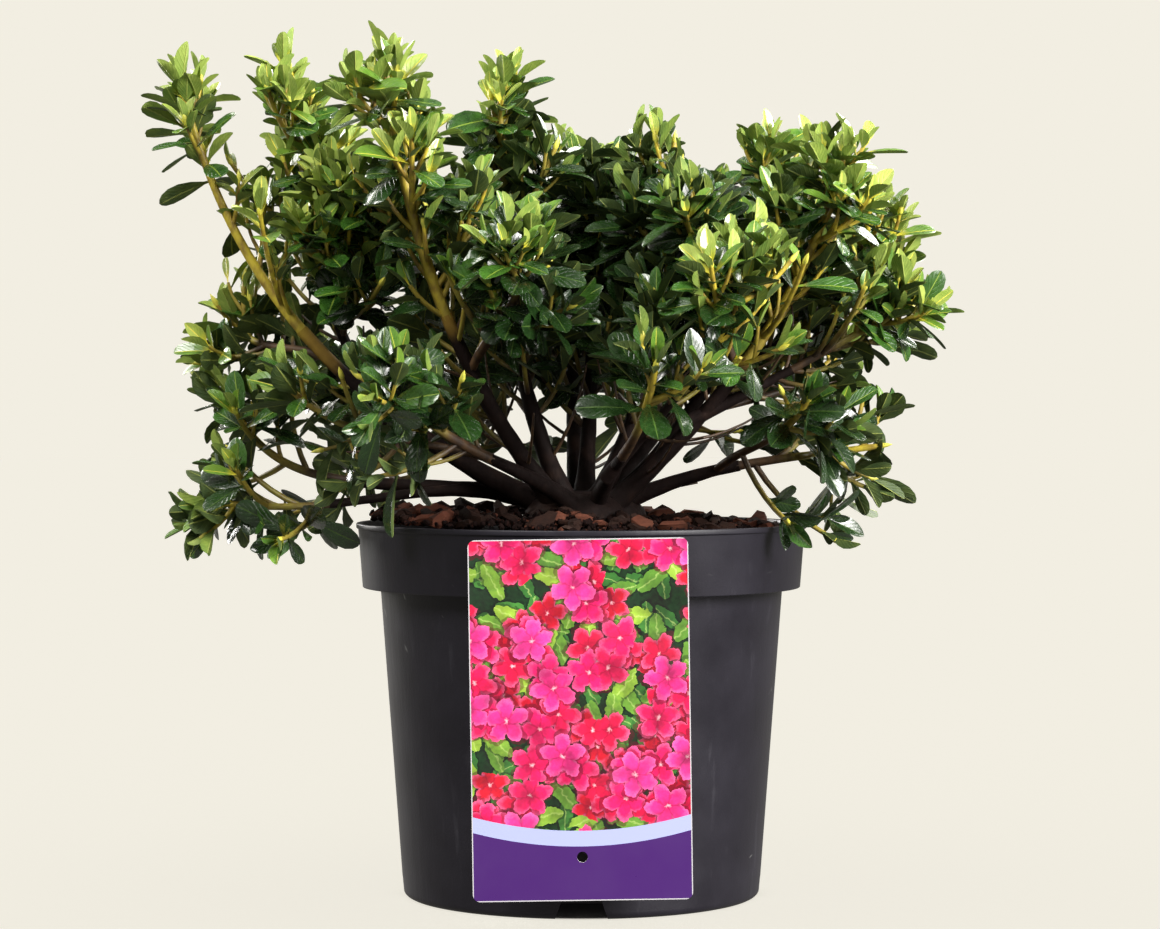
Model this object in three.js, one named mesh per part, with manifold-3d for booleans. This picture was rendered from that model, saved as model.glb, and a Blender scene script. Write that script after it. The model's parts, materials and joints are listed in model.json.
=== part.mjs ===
// Potted azalea shrub: a nursery pot with its card, the soil and bark it holds, and a shrub of many stems.
// Millimetres, +Z up. The origin is the centre of the pot's flat underside, and -Y is the side with the card.
import * as THREE from "three";
import { mergeVertices } from "three/addons/utils/BufferGeometryUtils.js";
import Module from "manifold-3d";

const wasm = await Module();
wasm.setup();
const { Manifold } = wasm;

// Pot
const POT = { height: 157, sides: 32, wall: 1.6, floor: 2 };
const LIP = { radius: 95, height: 2.2, proud: 0.8 };
const COLLAR = { bottom: 130, taper: 1.9 };
const WALL_RADIUS = { top: 84.8, foot: 75.3, knee: 74.5, base: 72.3 };
const FOOT = { round: 3, knee: 0.9 };
const CHANNELS = 4;
const CHANNEL = { foot: 22, crown: 16, height: 8, roof: 1.6, inner: 30 };
const DRAIN = { radius: 4, outward: 12, sides: 6 };

// Card that is tucked under the lip
const CARD = { width: 87, height: 143, thick: 0.5, corner: 3, turn: 0.85, aside: -1.5 };
const CARD_HOLE = { radius: 2.15, up: 17.3 };

// Soil and bark
const GAP = 0.3;
const SOIL = { sides: POT.sides / 2, edge: 151, level: 158, flat: 31, lump: 1.4, rings: [76, 60, 44] };
const BARK = { count: 13, length: 17, width: 9, thick: 5, narrow: 0.34, raised: 0.8, clear: 9 };
const BARK_SIZE = [0.75, 1.2];
const BARK_TILT = 0.25;

// Root crown that the stems rise from
const CROWN = { radius: 26, height: 12, lobes: 5, lobed: 0.09, sides: 15 };
const RING = { radius: 15, up: 6, first: 163 };
const CENTRE = { radius: 7, up: 8 };

// Every limb: what it springs from and how far along that; the way its tip lies, in degrees from +X, how far
// out from the pot's axis and how far up from the soil; the slopes at which it leaves and arrives, in
// degrees; and the share of it that is bare bough, before its mass of leaves.
// Those that spring from the crown's ring stand in their order round it.
const LIMBS = {
  left_mid: { from: "ring", way: 179, out: 147, up: 48, slopes: [20, 66], bare: 0.55 },
  left_tall: { from: "ring", way: 187, out: 166, up: 176, slopes: [25, 76], bare: 0.54 },
  front_left_tall: { from: "ring", way: 221, out: 104, up: 180, slopes: [46, 80], bare: 0.5 },
  front_left_low: { from: "ring", way: 230, out: 118, up: 60, slopes: [30, 48], bare: 0.45 },
  front_low: { from: "ring", way: 284, out: 116, up: 60, slopes: [34, 50], bare: 0.45 },
  front_right_tall: { from: "ring", way: 340, out: 114, up: 149, slopes: [42, 74], bare: 0.48 },
  right_low: { from: "ring", way: 351, out: 122, up: 31, slopes: [26, 8], bare: 0.5 },
  right_back_tall: { from: "ring", way: 14, out: 88, up: 150, slopes: [44, 80], bare: 0.45 },
  back_right: { from: "ring", way: 52, out: 120, up: 116, slopes: [36, 66], bare: 0.45 },
  back_tall: { from: "ring", way: 94, out: 74, up: 158, slopes: [48, 80], bare: 0.45 },
  back_left: { from: "ring", way: 130, out: 116, up: 132, slopes: [38, 70], bare: 0.45 },
  middle_left: { from: "centre", way: 184, out: 34, up: 180, slopes: [66, 88], bare: 0.42 },
  middle_back: { from: "centre", way: 80, out: 30, up: 162, slopes: [66, 88], bare: 0.42 },
  middle_right: { from: "centre", way: 336, out: 42, up: 154, slopes: [60, 84], bare: 0.42 },
  left_second: { from: "left_tall", at: 0.34, way: 175, out: 124, up: 188, slopes: [52, 80], bare: 0.45 },
  left_bottom: { from: "left_mid", at: 0.2, way: 192, out: 150, up: 8, slopes: [0, 8], bare: 0.6 },
  right_mid: { from: "front_right_tall", at: 0.3, way: 349, out: 134, up: 88, slopes: [26, 30], bare: 0.45 },
  right_tall: { from: "right_back_tall", at: 0.38, way: 1, out: 136, up: 126, slopes: [34, 64], bare: 0.4 },
  front_right: { from: "front_low", at: 0.34, way: 303, out: 120, up: 100, slopes: [40, 62], bare: 0.4 },
  back_mid: { from: "back_tall", at: 0.34, way: 90, out: 128, up: 92, slopes: [26, 56], bare: 0.45 },
  left_side: { from: "left_tall", at: 0.46, way: 175, out: 148, up: 84, slopes: [30, 56], bare: 0 },
  left_inner: { from: "left_second", at: 0.22, way: 199, out: 102, up: 134, slopes: [44, 76], bare: 0 },
  left_front: { from: "front_left_low", at: 0.36, way: 206, out: 130, up: 54, slopes: [24, 44], bare: 0 },
  front_middle: { from: "front_left_tall", at: 0.36, way: 258, out: 98, up: 110, slopes: [40, 64], bare: 0 },
  front_inner: { from: "front_right_tall", at: 0.44, way: 306, out: 78, up: 128, slopes: [46, 74], bare: 0 },
  right_front: { from: "right_low", at: 0.4, way: 320, out: 116, up: 48, slopes: [24, 36], bare: 0 },
  back_left_mid: { from: "left_mid", at: 0.4, way: 148, out: 132, up: 66, slopes: [24, 50], bare: 0 },
  back_right_low: { from: "back_right", at: 0.34, way: 30, out: 132, up: 72, slopes: [24, 46], bare: 0 },
  back_left_low: { from: "back_left", at: 0.32, way: 114, out: 126, up: 42, slopes: [10, 34], bare: 0 },
  back_low: { from: "back_mid", at: 0.28, way: 70, out: 126, up: 40, slopes: [8, 32], bare: 0 },
};
const PULL = 0.38;
const GIRTH = { least: 2.4, perLength: 0.0085, fork: 0.74, tip: 1.5, fall: 0.8 };
const BOUGH = { sides: 5, steps: 4 };
const STEM = { sides: 3, steps: 4 };
const TWIG_ROD = { sides: 3, steps: 1 };
const LINE_STEPS = 8;

// Shoots and leaves of one mass
const TURN = 137.5;
const TWIG = { count: 5, first: 0.12, last: 0.8, length: 40, shorten: 0.4, spread: 56, lift: 0.35 };
const TWIG_RADIUS = { root: 1.5, tip: 1.2 };
const TWIG_SIZE = [0.85, 1.15];
const LEAF = { length: 36, vary: 0.3, width: 0.5, widest: 0.6, end: 0.97, blunt: 0.25, arch: 0.035 };
const KEEL = { at: 0.24, depth: 0.034 };
const SPRAY = { stem: 12, twig: 7, span: 42, most: 0.9, close: 30, open: 78, lift: 0.55, jitter: 9 };
const SPACE = { apart: 1.3, limb: 0.7, potRadius: 98, potTop: 164 };

const FINISHES = {
  pot: { color: 0x17191b, roughness: 0.5 },
  card: { color: 0xc23b62, roughness: 0.35 },
  soil: { color: 0x33231b, roughness: 0.95 },
  bark: { color: 0x4a3224, roughness: 0.9 },
  leaves: { color: 0x2f5423, roughness: 0.4 },
};

const UP = new THREE.Vector3(0, 0, 1);
const rad = THREE.MathUtils.degToRad;
const { lerp } = THREE.MathUtils;
const countTo = (n) => [...Array(n).keys()];

// A point at a distance from the axis, in a direction in degrees from +X, at a height.
const polar = (r, way, z) => new THREE.Vector3(r * Math.cos(rad(way)), r * Math.sin(rad(way)), z);

// The unit vector at an angle from one unit vector towards another that is square to it.
function between(a, b, angle) {
  return a.clone().multiplyScalar(Math.cos(angle)).addScaledVector(b, Math.sin(angle));
}

// Numbers from 0 to 1, one at each call and the same ones for the same seed, by the usual congruential rule.
const WORD = 2 ** 32;
const SEED_STEP = 7919 * 31;
function randomFrom(seed) {
  let state = seed * SEED_STEP;
  return () => {
    state = (state * 1664525 + 1013904223) % WORD;
    return state / WORD;
  };
}

function solidOf(geometry) {
  const bare = geometry.clone();
  bare.deleteAttribute("normal");
  bare.deleteAttribute("uv");
  const merged = mergeVertices(bare, 1e-4);
  return new Manifold(
    new wasm.Mesh({
      numProp: 3,
      vertProperties: new Float32Array(merged.attributes.position.array),
      triVerts: new Uint32Array(merged.index.array),
    }),
  );
}

function geometryOf(solid) {
  const mesh = solid.getMesh();
  const geometry = new THREE.BufferGeometry();
  geometry.setAttribute("position", new THREE.BufferAttribute(mesh.vertProperties, 3));
  geometry.setIndex(new THREE.BufferAttribute(mesh.triVerts, 1));
  geometry.computeVertexNormals();
  return geometry;
}

// The largest body of a solid: this drops loose scraps and fills sealed hollows.
function mainBody(solid) {
  return solid.decompose().reduce((a, b) => (b.volume() > a.volume() ? b : a));
}

// A solid of revolution about Z, from [radius, height] points.
function turned(points, sides) {
  const profile = points.map(([r, z]) => new THREE.Vector2(r, z));
  return new THREE.LatheGeometry(profile, sides).rotateX(Math.PI / 2);
}

// The pot's section: outside from the foot up, then inside from the lip down.
const collarTop = LIP.radius - LIP.proud;
const lipUnder = POT.height - LIP.height;
const potInside = [
  [collarTop - POT.wall, POT.height],
  [collarTop - COLLAR.taper - POT.wall, COLLAR.bottom + POT.wall],
  [WALL_RADIUS.top - POT.wall, COLLAR.bottom + POT.wall],
  [WALL_RADIUS.foot - POT.wall, FOOT.round + POT.floor],
  [WALL_RADIUS.base - POT.wall, POT.floor],
];
const potOutside = [
  [0, 0],
  [WALL_RADIUS.base, 0],
  [WALL_RADIUS.knee, FOOT.knee],
  [WALL_RADIUS.foot, FOOT.round],
  [WALL_RADIUS.top, COLLAR.bottom],
  [collarTop - COLLAR.taper, COLLAR.bottom],
  [collarTop, lipUnder],
  [LIP.radius, lipUnder],
  [LIP.radius, POT.height],
];

// A drain channel from `start` out through the wall: a ridge of trapezoid section under the floor.
function channel(index, grow, start, height) {
  const foot = CHANNEL.foot / 2 + grow;
  const crown = CHANNEL.crown / 2 + grow;
  const section = new THREE.Shape([
    new THREE.Vector2(-foot, -1),
    new THREE.Vector2(foot, -1),
    new THREE.Vector2(crown, height),
    new THREE.Vector2(-crown, height),
  ]);
  const ridge = new THREE.ExtrudeGeometry(section, { depth: LIP.radius - start, bevelEnabled: false });
  ridge.rotateX(Math.PI / 2).translate(0, -start, 0);
  return solidOf(ridge.rotateZ(rad((index * 360) / CHANNELS)));
}

function makePot() {
  const { roof, height, inner } = CHANNEL;
  const shell = solidOf(turned([...potOutside, ...potInside, [0, POT.floor]], POT.sides));
  const filled = solidOf(turned([...potOutside, [0, POT.height]], POT.sides));
  const roofs = countTo(CHANNELS).map((i) => channel(i, roof, inner - roof, height + roof).intersect(filled));
  const hollows = countTo(CHANNELS).map((i) => channel(i, 0, inner, height));
  const drains = countTo(CHANNELS).map((i) => {
    const drain = new THREE.CylinderGeometry(DRAIN.radius, DRAIN.radius, 3 * roof, DRAIN.sides);
    drain.rotateX(Math.PI / 2).translate(0, -(inner + DRAIN.outward), height + roof / 2);
    return solidOf(drain.rotateZ(rad((i * 360) / CHANNELS)));
  });
  return Manifold.difference([Manifold.union([shell, ...roofs]), ...hollows, ...drains]);
}

// The card: a rounded sheet with a punched hole, its back just clear of the collar.
function makeCard() {
  const half = CARD.width / 2;
  const { corner, height } = CARD;
  const outline = new THREE.Shape();
  outline.absarc(half - corner, -corner, corner, Math.PI / 2, 0, true);
  outline.absarc(half - corner, corner - height, corner, 0, -Math.PI / 2, true);
  outline.absarc(corner - half, corner - height, corner, -Math.PI / 2, -Math.PI, true);
  outline.absarc(corner - half, -corner, corner, Math.PI, Math.PI / 2, true);
  outline.holes.push(new THREE.Path().absarc(0, CARD_HOLE.up - height, CARD_HOLE.radius, 0, 2 * Math.PI));
  const how = { depth: CARD.thick, bevelEnabled: false, curveSegments: 3 };
  const sheet = new THREE.ExtrudeGeometry(outline, how);
  sheet.rotateX(Math.PI / 2).rotateY(-rad(CARD.turn));
  const top = lipUnder - GAP - half * Math.sin(rad(CARD.turn));
  return solidOf(sheet.translate(CARD.aside, -collarTop - GAP, top));
}

// The soil's height at a distance from the axis: level under the plant, and falling away to the wall.
function soilHeight(r) {
  const out = Math.max(0, (r - SOIL.flat) / (collarTop - SOIL.flat));
  return SOIL.level - (SOIL.level - SOIL.edge) * out ** 2;
}

// Soil: a plug that stands on the channels' roofs and follows the pot's inside, with bark in its lumpy top.
function makeSoil(limbs) {
  const [, collarFoot, ledge, foot] = potInside;
  const edgeShare = (POT.height - SOIL.edge) / (POT.height - collarFoot[1]);
  const edge = lerp(potInside[0][0], collarFoot[0], edgeShare) - GAP;
  const low = CHANNEL.height + CHANNEL.roof + GAP;
  const lowShare = (low - foot[1]) / (ledge[1] - foot[1]);
  const side = [
    [0, low],
    [lerp(foot[0], ledge[0], lowShare) - GAP, low],
    [ledge[0] - GAP, ledge[1] + GAP],
    [collarFoot[0] - GAP, collarFoot[1] + GAP],
    [edge, SOIL.edge],
  ];
  const top = [...SOIL.rings, SOIL.flat].map((r) => [r, soilHeight(r)]);
  const plug = turned([...side, ...top, [0, SOIL.level]], SOIL.sides);
  const random = randomFrom(7);
  const lumps = SOIL.rings.map(() => countTo(SOIL.sides).map(() => lerp(-SOIL.lump, SOIL.lump, random())));
  const at = plug.attributes.position;
  for (let i = 0; i < at.count; i++) {
    const reach = Math.hypot(at.getX(i), at.getY(i));
    const ring = SOIL.rings.findIndex((r) => Math.abs(reach - r) < GAP);
    const turn = Math.round((Math.atan2(at.getY(i), at.getX(i)) / (2 * Math.PI) + 1) * SOIL.sides);
    if (ring >= 0 && at.getZ(i) > collarFoot[1]) at.setZ(i, at.getZ(i) + lumps[ring][turn % SOIL.sides]);
  }
  return mainBody(Manifold.union([solidOf(plug), ...makeBark(limbs, edge)]));
}

// Bark chips, half sunk in the soil, wherever no bough passes low over them.
function makeBark(limbs, edge) {
  const random = randomFrom(11);
  const half = (BARK.length * BARK_SIZE[1]) / 2;
  const chips = [];
  for (const i of countTo(BARK.count)) {
    const r = lerp(CROWN.radius + half, edge - half, Math.sqrt((i + 1) / BARK.count));
    const chip = new THREE.CylinderGeometry(BARK.narrow, 0.5, 1, 5);
    const size = lerp(...BARK_SIZE, random());
    chip.scale(BARK.length * size, BARK.thick, BARK.width * size).rotateX(Math.PI / 2);
    chip.rotateY(lerp(-BARK_TILT, BARK_TILT, random())).rotateZ(2 * Math.PI * random());
    const centre = polar(r, i * TURN, soilHeight(r) + BARK.raised);
    chip.translate(centre.x, centre.y, centre.z);
    if (limbs.every((limb) => limb.clearOf(centre) > BARK.clear)) chips.push(solidOf(chip));
  }
  return chips;
}

// The low stump at the soil, flared into lobes where its roots go down.
function makeCrown(grow = 0) {
  const { radius, height, lobes, lobed } = CROWN;
  const profile = [
    [0, 0],
    [1, 0],
    [0.9, 0.32],
    [0.72, 0.68],
    [0.42, 0.92],
    [0, 1],
  ].map(([r, z]) => [r * radius + (r ? grow : 0), z * height + (z ? grow : 0)]);
  const dome = turned(profile, CROWN.sides);
  const at = dome.attributes.position;
  for (let i = 0; i < at.count; i++) {
    const turn = Math.atan2(at.getY(i), at.getX(i));
    const out = Math.hypot(at.getX(i), at.getY(i)) / radius;
    const lobe = 1 + lobed * Math.cos(lobes * turn) * out ** 2;
    at.setXYZ(i, at.getX(i) * lobe, at.getY(i) * lobe, at.getZ(i) + SOIL.level + GAP);
  }
  return solidOf(dome);
}

// The shortest way from a point to a line of points, less the line's own radius at each.
const piece = new THREE.Line3();
const nearest = new THREE.Vector3();
function distanceTo(line, p, radius = () => 0) {
  let least = Infinity;
  for (let i = 1; i < line.length; i++) {
    piece.set(line[i - 1], line[i]).closestPointToPoint(p, true, nearest);
    least = Math.min(least, nearest.distanceTo(p) - radius(i / (line.length - 1)));
  }
  return least;
}

// A limb from where it springs to its tip: a bare bough first, then the stem of its mass of leaves.
class Limb {
  constructor(name, plan, start, root) {
    Object.assign(this, { name, ...plan });
    const tip = polar(plan.out, plan.way, SOIL.level + plan.up);
    const level = new THREE.Vector3(tip.x - start.x, tip.y - start.y, 0).normalize();
    const pull = PULL * tip.distanceTo(start);
    const aim = (slope) => between(level, UP, rad(slope));
    this.curve = new THREE.CubicBezierCurve3(
      start,
      start.clone().addScaledVector(aim(plan.slopes[0]), pull),
      tip.clone().addScaledVector(aim(plan.slopes[1]), -pull),
      tip,
    );
    this.side = level.clone().cross(UP);
    this.length = this.curve.getLength();
    this.root = root ?? GIRTH.least + GIRTH.perLength * this.length;
    this.boughLine = plan.bare ? this.line(0, plan.bare) : [];
    this.stemLine = this.line(plan.bare, 1);
  }

  line(from, to) {
    return countTo(LINE_STEPS + 1).map((i) => this.curve.getPoint(lerp(from, to, i / LINE_STEPS)));
  }

  radius(t) {
    return lerp(this.root, GIRTH.tip, t ** GIRTH.fall);
  }

  // How far a point lies outside the bough's bark.
  clearOf(p) {
    return distanceTo(this.boughLine, p, (share) => this.radius(share * this.bare));
  }

  bough(grow = 0) {
    return rod(this.curve, this.side, 0, this.bare, (t) => this.radius(t) + grow, BOUGH);
  }

  stem() {
    const start = this.bare ? this.bare + GAP / this.length : 0;
    return rod(this.curve, this.side, start, 1, (t) => this.radius(t), STEM);
  }
}

// A closed rod of a few flat sides along a stretch of a curve.
function rod(curve, side, from, to, radius, { sides, steps }) {
  const shape = new THREE.CylinderGeometry(1, 1, 1, sides, steps);
  const at = shape.attributes.position;
  for (let i = 0; i < at.count; i++) {
    const t = lerp(from, to, at.getY(i) + 0.5);
    const along = curve.getTangent(t);
    const across = side.clone().addScaledVector(along, -side.dot(along)).normalize();
    const over = along.clone().cross(across);
    const point = curve.getPoint(t).addScaledVector(across, at.getX(i) * radius(t));
    point.addScaledVector(over, -at.getZ(i) * radius(t));
    at.setXYZ(i, point.x, point.y, point.z);
  }
  return solidOf(shape);
}

function growLimbs() {
  const limbs = new Map();
  const ring = Object.keys(LIMBS).filter((name) => LIMBS[name].from === "ring");
  for (const [name, plan] of Object.entries(LIMBS)) {
    const parent = limbs.get(plan.from);
    const place = ring.indexOf(name);
    if (parent) {
      const root = parent.radius(plan.at) * GIRTH.fork;
      limbs.set(name, new Limb(name, plan, parent.curve.getPoint(plan.at), root));
    } else if (place >= 0) {
      const start = polar(RING.radius, RING.first + (place * 360) / ring.length, SOIL.level + RING.up);
      limbs.set(name, new Limb(name, plan, start));
    } else {
      limbs.set(name, new Limb(name, plan, polar(CENTRE.radius, plan.way, SOIL.level + CENTRE.up)));
    }
  }
  return [...limbs.values()];
}

// A leaf of 8 faces along +X: a blade that is arched on top, blunt at its end, and keeled below.
function leafShape(length) {
  const half = (LEAF.width * length) / 2;
  const blunt = LEAF.blunt * LEAF.width * length;
  const points = [
    [0, 0, 0],
    [LEAF.widest * length, half, LEAF.arch * length],
    [LEAF.widest * length, -half, LEAF.arch * length],
    [LEAF.end * length, blunt, 0],
    [LEAF.end * length, -blunt, 0],
    [KEEL.at * length, 0, -KEEL.depth * length],
  ];
  const blade = new THREE.BufferGeometry();
  blade.setAttribute("position", new THREE.BufferAttribute(new Float32Array(points.flat()), 3));
  return blade.setIndex([0, 2, 1, 2, 4, 3, 2, 3, 1, 0, 1, 5, 1, 3, 5, 3, 4, 5, 4, 2, 5, 2, 0, 5]);
}

// A leaf with its root in a shoot, which points `along`: it opens from that, and its face looks up.
function placeLeaf(root, along, turn, open, length) {
  const lifted = along.clone().addScaledVector(UP, SPRAY.lift).normalize();
  const side = new THREE.Vector3(1, 0, 0).cross(lifted).normalize();
  const out = between(side, lifted.clone().cross(side), turn);
  const axis = between(lifted, out, open);
  const face = lifted.clone().addScaledVector(axis, -lifted.dot(axis)).normalize();
  const matrix = new THREE.Matrix4().makeBasis(axis, face.clone().cross(axis), face);
  return leafShape(length).applyMatrix4(matrix.setPosition(root));
}

// Leaves down a shoot from its tip, a golden angle apart, that open wider further down.
function leavesOn(curve, count, random) {
  const span = Math.min(SPRAY.most, SPRAY.span / curve.getLength());
  const first = 360 * random();
  return countTo(count).map((i) => {
    const share = i / (count - 1);
    const t = 1 - span * share;
    const open = lerp(SPRAY.close, SPRAY.open, share) + lerp(-SPRAY.jitter, SPRAY.jitter, random());
    const turn = first + i * TURN + lerp(-SPRAY.jitter, SPRAY.jitter, random());
    const length = LEAF.length * (1 - LEAF.vary * random());
    const root = curve.getPoint(t);
    return { root, blade: placeLeaf(root, curve.getTangent(t), rad(turn), rad(open), length) };
  });
}

// Points of a piece that show where it reaches: its corners and the middles between them.
function reachOf(geometry, root) {
  const at = geometry.attributes.position;
  const corners = countTo(at.count).map((i) => new THREE.Vector3().fromBufferAttribute(at, i));
  const middles = corners.flatMap((a, i) => corners.slice(i + 1).map((b) => a.clone().lerp(b, 0.5)));
  return [...corners, ...middles].filter((p) => p.distanceTo(root) > LEAF.length / 8);
}

// Whether points keep to the space of a mass: nearer its stem than any other, off the boughs and the pot.
function keepsTo(own, limbs, points) {
  return points.every((p) => {
    if (p.z < SPACE.potTop && Math.hypot(p.x, p.y) < SPACE.potRadius) return false;
    const home = distanceTo(own.stemLine, p) + SPACE.apart;
    return limbs.every(
      (limb) => (limb === own || distanceTo(limb.stemLine, p) > home) && !(limb.clearOf(p) < SPACE.limb),
    );
  });
}

// Twigs spring from the stem a golden angle apart, shorter towards its tip, and bend upwards.
function twigsOf(limb, limbs, random) {
  const first = 360 * random();
  return countTo(TWIG.count).flatMap((i) => {
    const share = i / (TWIG.count - 1);
    const t = lerp(limb.bare, 1, lerp(TWIG.first, TWIG.last, share));
    const root = limb.curve.getPoint(t);
    const along = limb.curve.getTangent(t);
    const out = between(limb.side, along.clone().cross(limb.side), rad(first + i * TURN));
    const length = TWIG.length * (1 - TWIG.shorten * share) * lerp(...TWIG_SIZE, random());
    const aim = between(along, out, rad(TWIG.spread)).addScaledVector(UP, TWIG.lift).normalize();
    const tip = root.clone().addScaledVector(aim, length);
    const curve = new THREE.LineCurve3(root, tip);
    const side = tip.clone().sub(root).cross(UP).normalize();
    const solid = rod(curve, side, 0, 1, (t) => lerp(TWIG_RADIUS.root, TWIG_RADIUS.tip, t), TWIG_ROD);
    return keepsTo(limb, limbs, [curve.getPoint(0.5), tip]) ? [{ curve, solid, count: SPRAY.twig }] : [];
  });
}

const touches = (a, b) => !a.intersect(b).isEmpty();

// A mass: the limb's stem, its twigs, and the leaves on both that keep to its space and off each other.
function makeMass(limb, limbs, seed) {
  const random = randomFrom(seed);
  const stem = { curve: new THREE.CatmullRomCurve3(limb.stemLine), solid: limb.stem(), count: SPRAY.stem };
  const shoots = [stem, ...twigsOf(limb, limbs, random)];
  const leaves = [];
  for (const shoot of shoots) {
    for (const { root, blade } of leavesOn(shoot.curve, shoot.count, random)) {
      if (!keepsTo(limb, limbs, reachOf(blade, root))) continue;
      const leaf = solidOf(blade);
      const rods = shoots.filter((other) => other !== shoot).map((other) => other.solid);
      if (![...leaves, ...rods].some((other) => touches(leaf, other))) leaves.push(leaf);
    }
  }
  return Manifold.union([...shoots.map((shoot) => shoot.solid), ...leaves]);
}

const group = new THREE.Group();
function add(name, solid, finish) {
  const mesh = new THREE.Mesh(geometryOf(solid), new THREE.MeshStandardMaterial({ ...finish, metalness: 0 }));
  mesh.name = name;
  group.add(mesh);
}

const limbs = growLimbs();
add("pot", makePot(), FINISHES.pot);
add("card", makeCard(), FINISHES.card);
add("soil", makeSoil(limbs), FINISHES.soil);
add("trunk", makeCrown(), FINISHES.bark);
limbs.forEach((limb, i) => {
  const parent = limbs.find((other) => other.name === limb.from);
  const socket = parent ? parent.bough(GAP) : makeCrown(GAP);
  const springs = (solid) => mainBody(solid.subtract(socket));
  if (limb.bare) add(`bough_${limb.name}`, springs(limb.bough()), FINISHES.bark);
  const mass = makeMass(limb, limbs, i + 1);
  add(`leaves_${limb.name}`, limb.bare ? mainBody(mass) : springs(mass), FINISHES.leaves);
});

export default group;
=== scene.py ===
# Azalea shrub in a black nursery pot with a picture card under its lip: the looks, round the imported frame.
# Metres, +Z up. The origin is the centre of the pot's flat underside, and -Y is the side with the card.
import json
from math import cos, exp, hypot, pi, radians, sin, sqrt
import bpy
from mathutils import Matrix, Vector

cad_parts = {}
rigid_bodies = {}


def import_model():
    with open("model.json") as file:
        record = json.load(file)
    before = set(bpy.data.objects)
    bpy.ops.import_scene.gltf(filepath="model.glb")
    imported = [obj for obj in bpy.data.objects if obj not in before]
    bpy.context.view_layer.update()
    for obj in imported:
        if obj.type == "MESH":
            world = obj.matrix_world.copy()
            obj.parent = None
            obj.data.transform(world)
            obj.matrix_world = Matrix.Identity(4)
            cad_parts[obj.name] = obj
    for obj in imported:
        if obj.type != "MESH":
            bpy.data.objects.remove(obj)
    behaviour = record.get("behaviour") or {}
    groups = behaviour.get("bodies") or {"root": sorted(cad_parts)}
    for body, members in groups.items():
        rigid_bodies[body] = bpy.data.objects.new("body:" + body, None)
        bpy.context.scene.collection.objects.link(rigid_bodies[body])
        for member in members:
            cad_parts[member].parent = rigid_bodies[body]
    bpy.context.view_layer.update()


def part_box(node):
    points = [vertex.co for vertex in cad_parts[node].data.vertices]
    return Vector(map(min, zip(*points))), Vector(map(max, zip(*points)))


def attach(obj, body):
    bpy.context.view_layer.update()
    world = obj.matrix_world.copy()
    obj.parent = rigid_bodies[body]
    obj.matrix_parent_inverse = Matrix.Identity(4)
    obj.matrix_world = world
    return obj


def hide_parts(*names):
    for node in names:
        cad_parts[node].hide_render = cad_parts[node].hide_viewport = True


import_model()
from types import SimpleNamespace as Sizes

import bpy
import numpy as np
from mathutils import Vector, noise

BODY = "root"

# Camera, on the side of the card: its place, how far it looks down, and its lens
CAMERA = Sizes(side=-0.0006, back=-1.4, height=0.2074, down=1.063, lens=102.82)

# Light: where each lamp stands, its size, its strength in watts and its colour
LAMPS = {
    "front_left": Sizes(place=(-0.9, -1.2, 1.7), size=1.0, watts=58, colour=(1.0, 0.98, 0.94)),
    "front_right": Sizes(place=(1.5, -1.2, 1.0), size=1.0, watts=99, colour=(1.0, 0.98, 0.95)),
    "left_edge": Sizes(place=(-0.92, 1.3, 0.35), size=0.4, watts=16, colour=(1.0, 0.98, 0.95)),
    "low_right": Sizes(place=(1.3, -1.0, 0.3), size=0.9, watts=15, colour=(1.0, 0.98, 0.95)),
    "back_left": Sizes(place=(-1.4, 1.2, 1.2), size=1.2, watts=56, colour=(1.0, 0.98, 0.92)),
    "back_right": Sizes(place=(1.1, 1.2, 1.4), size=1.2, watts=60, colour=(1.0, 0.98, 0.92)),
}
# The height that the lamps aim at. Then the paper round the plant: how far off it is, how bright the room's
# own light is against it, and the share of light that the floor throws back. The rest of the floor's light is
# its own, so that it meets the backdrop unseen
# Under the pot the floor's glow is taken away, a painted shadow whose edge lies shadow_edge from the pot's
# foot
STUDIO = Sizes(aim=0.22, reach=11.0, segments=48, room=0.32, floor=0.5, shadow_edge=(-0.003, 0.001))
PAPER = (242, 238, 226)

# Pot
POT = Sizes(height=0.157, sides=128, wall=0.0016, floor=0.002, edge=0.0005)
LIP = Sizes(radius=0.095, height=0.0022, proud=0.0008)
COLLAR = Sizes(bottom=0.130, taper=0.0019)
WALL_RADIUS = Sizes(top=0.0848, foot=0.0753, base=0.0723)
FOOT = Sizes(round=0.003, steps=5)
CHANNELS = 4
CHANNEL = Sizes(foot=0.022, crown=0.016, height=0.008, roof=0.0016, inner=0.03, below=0.001)
DRAIN = Sizes(radius=0.004, outward=0.012, sides=20)

# Card
CARD = Sizes(width=0.087, height=0.143, thick=0.0005, corner=0.003, turn=0.85)
CARD_HOLE = Sizes(radius=0.00215, up=0.0173, sides=40)

# Soil, and the bark and crumbs that lie on it. A small gap keeps neighbours from touching
GAP = 0.0003
SOIL = Sizes(edge=0.151, level=0.158, flat=0.031, low=0.0099, around=160, rings=44)
# Its lumps, coarse and fine, how far it is heaped to the left, its height at the wall, its rise in the middle
LUMP = Sizes(coarse=0.0024, coarse_size=0.016, fine=0.0008, fine_size=0.004, heap=0.0036, edge=0.1555,
             middle=0.0025, middle_reach=0.042)
CHIP = Sizes(count=230, length=(0.004, 0.0185), width=0.5, thick=0.3, lean=0.5, sides=7, sunk=0.0002)
CRUMB = Sizes(count=2600, length=(0.0012, 0.0046), width=0.75, thick=0.6, lean=0.9, sides=5, sunk=0.0003)
# Where they lie: how far from the axis, from the wall and, against their size, from a bough. Most are short,
# and each is turned on a little further round the axis
CHIP_FIELD = Sizes(inside=0.012, off_wall=0.0035, off_bough=0.3, short=1.6, turned=20)
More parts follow.
